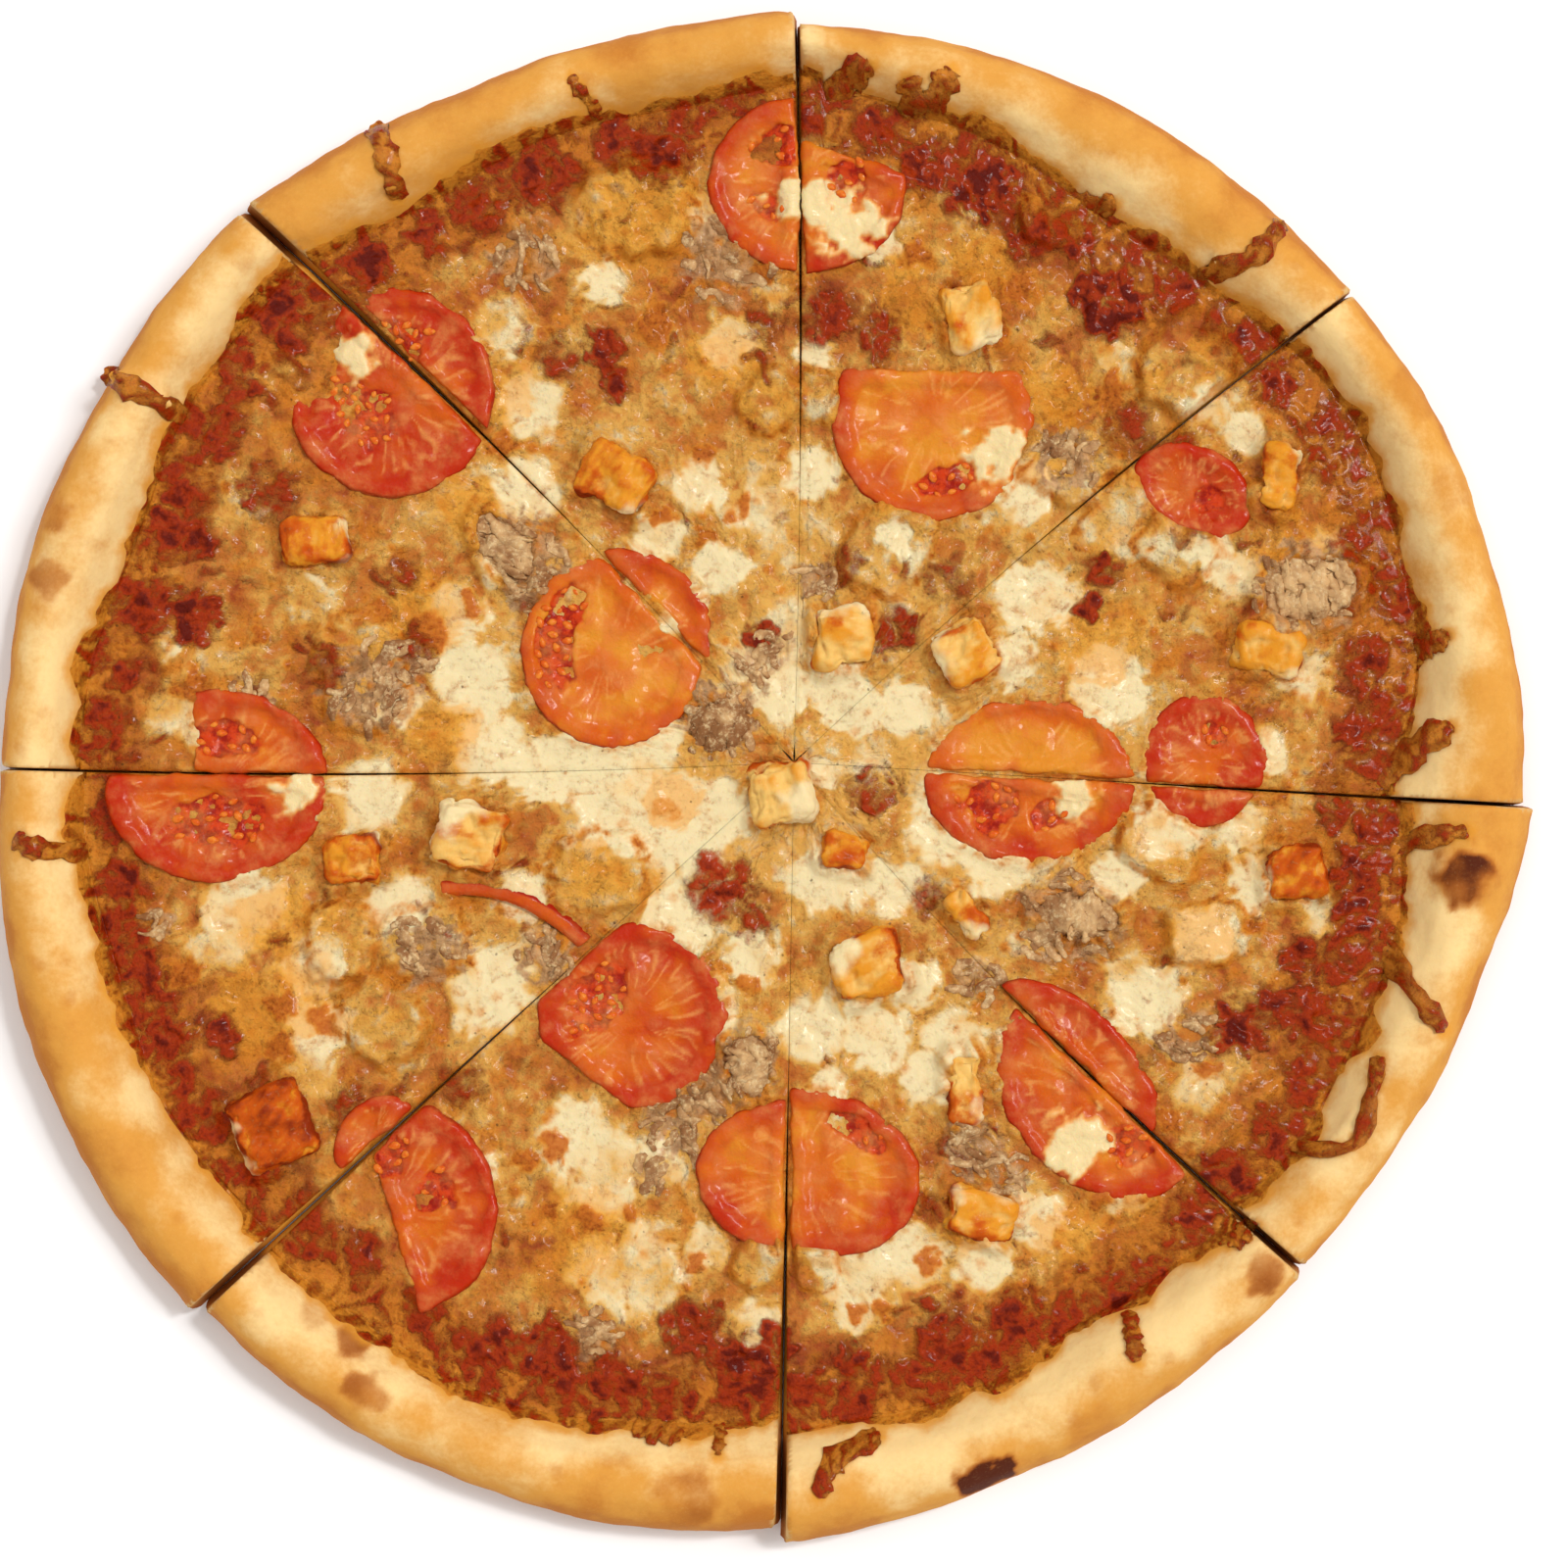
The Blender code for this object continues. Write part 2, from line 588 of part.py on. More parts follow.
def arc_strip(radius, sweep, width, thick, steps, sides=STRAND_SIDES):
    """A bent strip with a few sides, spun about Z and centred on its own middle."""
    bm = bmesh.new()
    ring = []
    for corner in range(sides):
        turned = math.tau * corner / sides
        ring.append(bm.verts.new((radius + 0.5 * width * math.cos(turned), 0.0,
                                  0.5 * thick * math.sin(turned))))
    face = bm.faces.new(ring)
    bmesh.ops.spin(bm, geom=[face], cent=(0, 0, 0), axis=(0, 0, 1), angle=sweep, steps=steps)
    middle = 0.5 * sweep
    centred = Matrix.Rotation(-middle, 4, "Z")
    bmesh.ops.transform(bm, matrix=centred, verts=bm.verts)
    bmesh.ops.translate(bm, vec=(-radius, 0, 0), verts=bm.verts)
    return bm


def meat_core(piece):
    """The low lump that a heap of shreds is built on."""
    bm = bmesh.new()
    bmesh.ops.create_icosphere(bm, subdivisions=2, radius=1.0)
    size = Matrix.Diagonal((*piece.radii, MEAT_CORE_RISE, 1.0))
    turn = Matrix.Rotation(math.radians(piece.turn), 4, "Z")
    place = Matrix.Translation((*piece.centre, MEAT_CORE_MIDDLE))
    bmesh.ops.transform(bm, matrix=place @ turn @ size, verts=bm.verts)
    everything = bm.verts[:] + bm.edges[:] + bm.faces[:]
    bmesh.ops.bisect_plane(bm, geom=everything, plane_co=(0, 0, TOPPING_BED), plane_no=(0, 0, -1),
                           clear_outer=True)
    rim = [edge for edge in bm.edges if edge.is_boundary]
    bmesh.ops.edgenet_fill(bm, edges=rim)
    return bm


def meat(piece):
    """A heap of shredded meat: bent strips fused over a low lump."""
    draw = random.Random(piece.name)
    heap = add_object(piece.name, meat_core(piece), "meat")
    shreds = []
    for number in range(SHREDS_A_HEAP):
        radius = draw.uniform(5.0, 9.0)
        length = draw.uniform(0.75, 1.15) * min(max(piece.radii), 10.0)
        bm = arc_strip(radius, length / radius, SHRED_WIDTH, SHRED_THICK, SHRED_STEPS, 4)
        around = math.tau * number / SHREDS_A_HEAP
        away = draw.uniform(0.15, 0.5)
        offset = Vector((piece.radii[0] * math.cos(around), piece.radii[1] * math.sin(around), 0))
        turn = Matrix.Rotation(math.radians(piece.turn), 4, "Z")
        spin = Matrix.Rotation(draw.uniform(0, math.tau), 4, "Z")
        lean = Matrix.Rotation(math.radians(draw.uniform(-12, 12)), 4, "X")
        height = 13.4 - 1.2 * away + draw.uniform(-0.1, 0.4)
        place = Matrix.Translation((*piece.centre, height)) @ turn @ Matrix.Translation(offset * away)
        bmesh.ops.transform(bm, matrix=place @ lean @ spin, verts=bm.verts)
        shreds.append(add_object("shred", bm, "meat"))
    apply_boolean(heap, shreds, "UNION")
    drop_scraps(heap)
    return heap


def meat_cutter(piece):
    """The hollow that a heap of meat fills in the cheese."""
    bm = bmesh.new()
    bmesh.ops.create_cone(bm, cap_ends=True, segments=10, radius1=1.06, radius2=1.06, depth=1.0)
    size = Matrix.Diagonal((piece.radii[0] + LAYER_GAP, piece.radii[1] + LAYER_GAP, TOPPING_BED, 1.0))
    turn = Matrix.Rotation(math.radians(piece.turn), 4, "Z")
    place = Matrix.Translation((*piece.centre, 1.5 * TOPPING_BED - LAYER_GAP))
    bmesh.ops.transform(bm, matrix=place @ turn @ size, verts=bm.verts)
    return add_object("cutter", bm, "meat")


def skin_strip(grow):
    """The loose curl of tomato skin beside tomato_9."""
    sweep = (SKIN_CURL_LENGTH + 2 * grow) / SKIN_CURL_BEND
    bm = arc_strip(SKIN_CURL_BEND, sweep, 4.4 + 2 * grow, 3.2 + 2 * grow, 7)
    turn = Matrix.Rotation(math.radians(SKIN_CURL_TURN), 4, "Z")
    place = Matrix.Translation((*SKIN_CURL_CENTRE, TOPPING_BED + 2.2))
    bmesh.ops.transform(bm, matrix=place @ turn, verts=bm.verts)
    return bm


def strand(place_x, place_y, length, degrees, width, grow=0.0):
    """A baked strand of cheese that lies over the rim."""
    index, place = slice_of(place_x, place_y)
    radius = math.hypot(place_x, place_y)
    inner = inner_radius(index, place)
    width_here = outer_radius(index, place) - inner
    across = (radius - inner) / width_here
    outward = Vector((place_x, place_y, 0)).normalized()
    heading = math.radians(degrees)
    crossing = abs(outward.dot(Vector((math.cos(heading), math.sin(heading), 0))))
    bend = CROSSING_BEND + (ALONG_BEND - CROSSING_BEND) * (1 - crossing)
    sweep = (length + 2 * grow) / bend
    bm = arc_strip(bend, sweep, STRAND_THICK + 2 * grow, width + 2 * grow, STRAND_STEPS)
    droop = Matrix.Rotation(math.radians(-90.0), 4, "Y")
    spin = Matrix.Rotation(heading - math.radians(90.0), 4, "Z")
    slope = (rim_rise(across + 0.1) - rim_rise(across - 0.1)) / 0.2
    rise = slope * rim_height(index, place) / width_here
    lean = Matrix.Rotation(-math.atan(rise), 4, Vector((-outward.y, outward.x, 0)))
    height = rim_height(index, place) * rim_rise(across) - STRAND_SINK
    at = Matrix.Translation((place_x, place_y, height))
    bmesh.ops.transform(bm, matrix=at @ lean @ spin @ droop, verts=bm.verts)
    return add_object("strand", bm, "dough")


def rim_rise(across):
    """Part of the rim's height at a part of its width, between the profile's points."""
    across = min(max(across, RIM_PROFILE[0][0]), RIM_PROFILE[6][0])
    for (low, low_up), (high, high_up) in zip(RIM_PROFILE[:6], RIM_PROFILE[1:7]):
        if across <= high:
            return low_up + (high_up - low_up) * (across - low) / (high - low)
    return RIM_PROFILE[6][1]


def slice_of(x, y):
    """The slice that a point lies on, and its place between that slice's cuts."""
    radius = math.hypot(x, y)
    turned = math.atan2(y, x)
    for index in range(len(SLICES)):
        low = slice_angle(index, 0.0, radius)
        high = slice_angle(index, 1.0, radius)
        angle = low + (turned - low) % math.tau
        if angle <= high:
            return index, (angle - low) / (high - low)
    raise ValueError("the point lies in a cut")


def cutters_for(index):
    """Cutters of the toppings that are sunk into one slice's cheese."""
    made = []
    for piece in TOMATOES:
        if piece.cut:
            home = slice_index(piece.cut) if piece.side > 0 else (slice_index(piece.cut) - 1) % len(SLICES)
        else:
            home = slice_of(*piece.centre)[0]
        if home == index:
            made.append(tomato_cutter(piece))
    for piece in CHICKEN:
        near_middle = math.hypot(*piece.centre) < 2 * max(piece.size)
        if near_middle or slice_of(*piece.centre)[0] == index:
            made.append(chicken_cutter(piece))
    for piece in MEAT:
        if slice_of(*piece.centre)[0] == index:
            made.append(meat_cutter(piece))
    for values in STRANDS:
        if slice_of(*values[:2])[0] == index:
            made.append(strand(*values, grow=LAYER_GAP))
    if slice_of(*SKIN_CURL_CENTRE)[0] == index:
        made.append(add_object("cutter", skin_strip(LAYER_GAP), "tomato"))
    return made


def centre_all(pieces):
    """Hang every piece on an empty that puts the outline's middle over the origin."""
    corners = [vert.co for piece in pieces for vert in piece.data.vertices]
    middle_x = 0.5 * (min(c.x for c in corners) + max(c.x for c in corners))
    middle_y = 0.5 * (min(c.y for c in corners) + max(c.y for c in corners))
    frame = bpy.data.objects.new("pizza", None)
    bpy.context.scene.collection.objects.link(frame)
    frame.location = (-middle_x, -middle_y, 0.0)
    for piece in pieces:
        piece.parent = frame
    return frame


def main():
    """Build the pizza slice by slice, then its toppings."""
    for existing in list(bpy.data.objects):
        bpy.data.objects.remove(existing)
    pieces = []
    for index in range(len(SLICES)):
        dough = dough_slice(index)
        strands = [strand(*values) for values in STRANDS if slice_of(*values[:2])[0] == index]
        apply_boolean(dough, strands, "UNION")
        join_flat(dough, 0.0, DOUGH_TOP)
        cheese = cheese_slice(index)
        apply_boolean(cheese, cutters_for(index), "DIFFERENCE")
        drop_scraps(cheese)
        join_flat(cheese, DOUGH_TOP + LAYER_GAP)
        pieces += [dough, cheese]
    pieces += [tomato(piece) for piece in TOMATOES]
    pieces.append(add_object("tomato_skin", skin_strip(0.0), "tomato"))
    pieces += [chicken(piece) for piece in CHICKEN]
    pieces += [meat(piece) for piece in MEAT]
    centre_all(pieces)


main()
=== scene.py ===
"""Looks of a round baked pizza in eight slices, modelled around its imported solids.

Lengths in the classes are millimetres, and MM turns them into metres. Places on the pizza are
given from the hub, the point where the knife cuts meet, with +X to the right and +Y up in the
view from above.
"""

import itertools
import logging
import math
from collections.abc import Callable
from dataclasses import dataclass, field
from enum import Enum

import bmesh
import bpy
import numpy as np
from mathutils import Matrix, Vector
from mathutils.bvhtree import BVHTree
from mathutils.geometry import convex_hull_2d


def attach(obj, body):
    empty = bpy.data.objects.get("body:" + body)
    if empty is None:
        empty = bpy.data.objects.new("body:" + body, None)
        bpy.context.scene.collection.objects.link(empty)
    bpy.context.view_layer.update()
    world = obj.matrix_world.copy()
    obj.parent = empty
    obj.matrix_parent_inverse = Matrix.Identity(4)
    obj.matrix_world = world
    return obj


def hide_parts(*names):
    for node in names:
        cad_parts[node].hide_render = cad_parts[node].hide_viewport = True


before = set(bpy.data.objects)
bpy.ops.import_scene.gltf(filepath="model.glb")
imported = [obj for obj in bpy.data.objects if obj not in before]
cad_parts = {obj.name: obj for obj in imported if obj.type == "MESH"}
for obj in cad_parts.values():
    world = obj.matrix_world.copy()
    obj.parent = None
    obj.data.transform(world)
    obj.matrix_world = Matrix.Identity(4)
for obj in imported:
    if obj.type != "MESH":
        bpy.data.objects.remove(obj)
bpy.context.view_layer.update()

MM = 0.001
FULL_TURN = math.tau
FAR_OFF = 99.0
Points = np.ndarray
Colour = tuple[float, float, float]

log = logging.getLogger("pizza")


class Slot(Enum):
    """The record's material slots."""

    CRUST = "crust"
    CHEESE = "cheese"
    TOMATO = "tomato"
    CHICKEN = "chicken"
    MEAT = "meat"


def srgb(red: int, green: int, blue: int) -> Colour:
    """Turn a colour in screen values from 0 to 255 into linear light."""
    return tuple(((v / 255 + 0.055) / 1.055) ** 2.4 for v in (red, green, blue))


def ease(value: Points, low: float, high: float) -> Points:
    """Rise smoothly from 0 at one bound to 1 at the other.

    Args:
        value: The numbers to ease.
        low: Where the result is 0.
        high: Where the result is 1; it may be below low.

    Returns:
        Numbers from 0 to 1.
    """
    part = np.clip((value - low) / (high - low), 0.0, 1.0)
    return part * part * (3.0 - 2.0 * part)


class Noise:
    """Smooth random fields that are the same in every run."""

    def __init__(self, seed: int) -> None:
        """Draw the table of slopes for a seed."""
        draw = np.random.default_rng(seed)
        self.order = draw.permutation(256)
        slopes = draw.normal(size=(256, 3))
        self.slopes = slopes / np.linalg.norm(slopes, axis=1)[:, None]

    def layer(self, points: Points) -> Points:
        """Gradient noise of feature size 1, from about -1 to 1."""
        cell = np.floor(points).astype(np.int64)
        part = points - cell
        blend = part ** 3 * (part * (part * 6.0 - 15.0) + 10.0)
        total = np.zeros(len(points))
        for corner in itertools.product((0, 1), repeat=points.shape[1]):
            spot = np.zeros(len(points), dtype=np.int64)
            weight = np.ones(len(points))
            for axis, step in enumerate(corner):
                spot = self.order[(spot + cell[:, axis] + step) & 255]
                weight = weight * (blend[:, axis] if step else 1.0 - blend[:, axis])
            rise = sum(self.slopes[spot, axis] * (part[:, axis] - step) for axis, step in enumerate(corner))
            total += weight * rise
        return 1.7 * total

    def cloud(self, points: Points, size: float, layers: int = 3, gain: float = 0.5) -> Points:
        """Layered noise.

        Args:
            points: Places in mm.
            size: Size of the largest features in mm.
            layers: How many layers, each half the size of the one before.
            gain: Strength of each layer against the one before.

        Returns:
            A number for each point, from about -1 to 1.
        """
        total = np.zeros(len(points))
        strength = 1.0
        for number in range(layers):
            total += strength * self.layer(points / size + 31.7 * (number + 1))
            size *= 0.5
            strength *= gain
        return total

    def ridges(self, points: Points, size: float, layers: int = 2) -> Points:
        """Noise folded into sharp crests, from 0 to about 1."""
        total = np.zeros(len(points))
        strength = 1.0
        for number in range(layers):
            total += strength * (1.0 - np.abs(self.layer(points / size + 17.9 * (number + 1))) * 2.0)
            size *= 0.5
            strength *= 0.5
        return np.clip(total / 1.5, 0.0, 1.0)

    def cells(self, points: Points, size: float) -> tuple[Points, Points]:
        """Distances to the two nearest of a loose scatter of points in the plane.

        Args:
            points: Places in mm.
            size: Spacing of the scatter in mm.

        Returns:
            The nearest and the second nearest distance, in spacings.
        """
        flat = points[:, :2] / size
        home = np.floor(flat).astype(np.int64)
        first = np.full(len(points), 9.0)
        second = np.full(len(points), 9.0)
        for step_x, step_y in itertools.product((-1, 0, 1), repeat=2):
            cell = home + (step_x, step_y)
            mark = self.order[(self.order[cell[:, 0] & 255] + cell[:, 1]) & 255]
            shift_x = mark / 255.0
            shift_y = self.order[(mark + 57) & 255] / 255.0
            away = np.hypot(cell[:, 0] + shift_x - flat[:, 0], cell[:, 1] + shift_y - flat[:, 1])
            second = np.minimum(second, np.maximum(first, away))
            first = np.minimum(first, away)
        return first, second


NOISE = Noise(11)


# Mesh helpers


def underside(node: str) -> Points:
    """The corners of a cheese node's flat underside, in mm from the row's origin."""
    flat = np.empty(len(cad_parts[node].data.vertices) * 3)
    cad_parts[node].data.vertices.foreach_get("co", flat)
    points = np.unique(np.round(flat.reshape(-1, 3) / MM, 2), axis=0)
    return points[points[:, 2] < points[:, 2].min() + 0.05]


def hub_place() -> Vector:
    """Where the knife cuts meet, in mm: the middle of the circle that the slices' tips leave free."""
    corners = np.vstack([underside(f"cheese_{number}") for number in range(1, 9)])
    tips = corners[np.hypot(corners[:, 0], corners[:, 1]) < 10.0][:, :2]
    terms = np.column_stack((2.0 * tips, np.ones(len(tips))))
    middle = np.linalg.lstsq(terms, (tips ** 2).sum(1), rcond=None)[0]
    return Vector((middle[0], middle[1], 0.0))


HUB = hub_place()


def read_points(mesh: bpy.types.Mesh) -> Points:
    """A mesh's vertices in mm from the hub."""
    flat = np.empty(len(mesh.vertices) * 3)
    mesh.vertices.foreach_get("co", flat)
    points = flat.reshape(-1, 3) / MM
    points[:, :2] -= (HUB.x, HUB.y)
    return points


def write_points(mesh: bpy.types.Mesh, points: Points) -> None:
    """Put a mesh's vertices at places in mm from the hub."""
    placed = points.copy()
    placed[:, :2] += (HUB.x, HUB.y)
    mesh.vertices.foreach_set("co", (placed * MM).ravel())
    mesh.update()


def read_normals(mesh: bpy.types.Mesh) -> Points:
    """A mesh's vertex normals."""
    flat = np.empty(len(mesh.vertices) * 3, dtype=np.float32)
    mesh.vertex_normals.foreach_get("vector", flat)
    return flat.reshape(-1, 3).astype(float)


def paint(mesh: bpy.types.Mesh, **fields: Points) -> None:
    """Store fields of numbers on a mesh's vertices, for its material to read."""
    for name, values in fields.items():
        layer = mesh.attributes.get(name) or mesh.attributes.new(name, "FLOAT", "POINT")
        layer.data.foreach_set("value", np.clip(values, -4.0, 4.0).astype(np.float32))


def merged_copy(node: str) -> bmesh.types.BMesh:
    """A CAD node's mesh with its loose triangles joined up."""
    bm = bmesh.new()
    bm.from_mesh(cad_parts[node].data)
    bmesh.ops.remove_doubles(bm, verts=bm.verts, dist=0.01 * MM)
    return bm


def as_mesh(bm: bmesh.types.BMesh, name: str) -> bpy.types.Mesh:
    """Turn a bmesh into a mesh and free it."""
    mesh = bpy.data.meshes.new(name)
    bm.to_mesh(mesh)
    bm.free()
    return mesh


def add_piece(mesh: bpy.types.Mesh, name: str, finish: bpy.types.Material, slot: Slot,
              *nodes: str) -> bpy.types.Object:
    """Put a finished mesh in the scene as a piece of the pizza.

    Args:
        mesh: The mesh, with its place in its vertices.
        name: The piece's name.
        finish: Its material.
        slot: The record's slot; not used.
        nodes: The CAD nodes that it stands for.

    Returns:
        The new object.
    """
    mesh.materials.clear()
    mesh.materials.append(finish)
    mesh.shade_smooth()
    piece = bpy.data.objects.new(name, mesh)
    bpy.context.scene.collection.objects.link(piece)
    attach(piece, "root")
    if nodes:
        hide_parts(*nodes)
    log.info("%s: %d faces, for %s", name, len(mesh.polygons), ", ".join(nodes) or "no node")
    return piece


def remeshed(bm: bmesh.types.BMesh, name: str, voxel: float) -> bpy.types.Mesh:
    """Give a closed form an even, fine mesh.

    Args:
        bm: The form; it is freed.
        name: Name of the new mesh.
        voxel: Size of the new faces in mm.

    Returns:
        The new mesh.
    """
    rough = as_mesh(bm, name + "_rough")
    holder = bpy.data.objects.new(name + "_rough", rough)
    bpy.context.scene.collection.objects.link(holder)
    modifier = holder.modifiers.new("even", "REMESH")
    modifier.mode = "VOXEL"
    modifier.voxel_size = voxel * MM
    bpy.context.view_layer.update()
    evaluated = holder.evaluated_get(bpy.context.evaluated_depsgraph_get())
    mesh = bpy.data.meshes.new_from_object(evaluated)
    mesh.name = name
    bpy.data.objects.remove(holder)
    bpy.data.meshes.remove(rough)
    return mesh


def relax(mesh: bpy.types.Mesh, rounds: int, keep: Points | None = None) -> None:
    """Smooth a mesh, apart from the vertices to keep."""
    bm = bmesh.new()
    bm.from_mesh(mesh)
    bm.verts.ensure_lookup_table()
    moving = bm.verts[:] if keep is None else [v for v in bm.verts if not keep[v.index]]
    for _ in range(rounds):
        bmesh.ops.smooth_vert(bm, verts=moving, factor=0.5, use_axis_x=True, use_axis_y=True, use_axis_z=True)
    bm.to_mesh(mesh)
    bm.free()


class Ground:
    """A surface to find heights on from above."""

    def __init__(self, mesh: bpy.types.Mesh) -> None:
        """Make the search tree of a mesh."""
        bm = bmesh.new()
        bm.from_mesh(mesh)
        self.tree = BVHTree.FromBMesh(bm)
        bm.free()

    def height(self, x: float, y: float, missing: float = 0.0) -> float:
        """Height in mm of the surface at a place in mm from the hub."""
        start = Vector(((x + HUB.x) * MM, (y + HUB.y) * MM, 0.1))
        hit = self.tree.ray_cast(start, Vector((0.0, 0.0, -1.0)))[0]
        return hit.z / MM if hit else missing

    def heights(self, points: Points, missing: float = 0.0) -> Points:
        """Heights at many places."""
        return np.array([self.height(x, y, missing) for x, y in points[:, :2]])


# Shapes that the pieces share


@dataclass
class Side:
    """One cut side of a slice: its line, and how far the side strays from it."""

    angle: float
    radii: Points
    shifts: Points

    def at(self, radius: Points) -> Points:
        """The side's angle at a distance from the hub."""
        return self.angle + np.interp(radius, self.radii, self.shifts) / np.maximum(radius, self.radii[0])


@dataclass
class Wedge:
    """The plan of one slice's topping, read from its cheese node."""

    number: int
    low: Side
    high: Side
    arc_places: Points
    arc_radii: Points

    @staticmethod
    def from_frame(number: int) -> "Wedge":
        """Read a slice's plan from the flat underside of its cheese."""
        rim = underside(f"cheese_{number}")[:, :2] - (HUB.x, HUB.y)
        radii = np.hypot(rim[:, 0], rim[:, 1])
        middle = math.atan2(*rim[radii > 5.0].mean(0)[::-1])
        angles = middle + (np.arctan2(rim[:, 1], rim[:, 0]) - middle + math.pi) % FULL_TURN - math.pi
        order = np.argsort(angles)
        arc = [i for i in order if radii[i] > 0.89 * radii.max()]
        tip = [i for i in order if radii[i] < 3.0]
        between = [i for i in np.argsort(radii) if i not in arc and i not in tip]
        made = []
        for end, side in ((0, [i for i in between if angles[i] < middle]),
                          (-1, [i for i in between if angles[i] >= middle])):
            row = [tip[end], *side, arc[end]]
            base = angles[arc[end]]
            distance = radii[row]
            shift = (angles[row] - base) * distance
            slope = (shift[-1] - shift[-2]) / (distance[-1] - distance[-2])
            made.append(Side(base, np.append(distance, distance[-1] + 30.0),
                             np.append(shift, shift[-1] + 30.0 * slope)))
        places = (angles[arc] - angles[arc[0]]) / (angles[arc[-1]] - angles[arc[0]])
        return Wedge(number, made[0], made[1], places, radii[arc])

    def inner(self, place: Points) -> Points:
        """Distance from the hub to where the rim rises."""
        return np.interp(place, self.arc_places, self.arc_radii)

    def place_of(self, points: Points) -> Points:
        """Where points lie between the slice's two cuts, from 0 to 1 inside it."""
        radius = np.maximum(np.hypot(points[:, 0], points[:, 1]), 1.0)
        low = self.low.at(radius)
        high = self.high.at(radius)
        turned = np.arctan2(points[:, 1], points[:, 0])
        middle = 0.5 * (low + high)
        angle = middle + (turned - middle + math.pi) % FULL_TURN - math.pi
        return (angle - low) / (high - low)

    def side_distance(self, points: Points) -> Points:
        """Distance in mm to the nearer cut side."""
        radius = np.maximum(np.hypot(points[:, 0], points[:, 1]), 1.0)
        place = self.place_of(points)
        width = (self.high.at(radius) - self.low.at(radius)) * radius
        return np.minimum(place, 1.0 - place) * width


@dataclass
class Heights:
    """Heights of a surface that is split into the slices."""

    grounds: dict[int, Ground]
    missing: float

    def at(self, x: float, y: float) -> float:
        """Height in mm at a place in mm from the hub."""
        return max(ground.height(x, y, self.missing) for ground in self.grounds.values())


@dataclass(frozen=True)
class Patch:
    """A named place on the pizza, in mm from the hub."""

    x: float
    y: float
    radius: float
    strength: float = 1.0

    def cover(self, points: Points, rough: Points | float = 0.0) -> Points:
        """How much the patch covers points, from 0 to its strength."""
        away = np.hypot(points[:, 0] - self.x, points[:, 1] - self.y) / self.radius
        return self.strength * ease(away + rough, 1.15, 0.55)


def cover_all(patches: tuple[Patch, ...], points: Points, rough: Points | float = 0.0) -> Points:
    """The most that any of several patches covers points."""
    total = np.zeros(len(points))
    for patch in patches:
        near = np.abs(points[:, 0] - patch.x) + np.abs(points[:, 1] - patch.y) < 3.2 * patch.radius
        if near.any():
            local = rough[near] if isinstance(rough, np.ndarray) else rough
            total[near] = np.maximum(total[near], patch.cover(points[near], local))
    return total


class Footprint:
    """The outline of a topping seen from above."""

    tall_from = 14.5

    def __init__(self, node: str) -> None:
        """Read the outline of a CAD node."""
        points = read_points(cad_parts[node].data)
        corners = [tuple(row) for row in np.unique(np.round(points[:, :2], 2), axis=0)]
        hull = [corners[i] for i in convex_hull_2d(corners)]
        self.corners = np.array(hull)
        following = np.roll(self.corners, -1, axis=0)
        along = following - self.corners
        outward = np.column_stack((along[:, 1], -along[:, 0]))
        outward /= np.linalg.norm(outward, axis=1)[:, None]
        middle = self.corners.mean(0)
        if np.einsum("ij,ij->i", outward, self.corners - middle).mean() < 0:
            outward = -outward
        self.outward = outward
        self.middle = middle
        self.reach = np.hypot(*(self.corners - middle).T).max()
        self.top = points[:, 2].max()
        self.tall = self.top > self.tall_from

    def bank(self, plan: Points) -> Points:
        """How high the cheese banks up around it in each direction, from about -1 to 1."""
        away = plan - self.middle
        aim = away / np.maximum(np.hypot(away[:, 0], away[:, 1]), 0.1)[:, None]
        return 1.6 * NOISE.cloud(aim * 1.4 + self.middle * 0.37, 1.0, 2)

    def distance(self, points: Points) -> Points:
        """Rough distance in mm outside the outline, below 0 inside it."""
        away = np.full(len(points), FAR_OFF)
        near = np.hypot(points[:, 0] - self.middle[0], points[:, 1] - self.middle[1]) < self.reach + 12.0
        local = points[near, :2]
        if len(local):
            sides = np.einsum("nkj,kj->nk", local[:, None, :] - self.corners[None], self.outward)
            away[near] = sides.max(1)
        return away


# Finishes


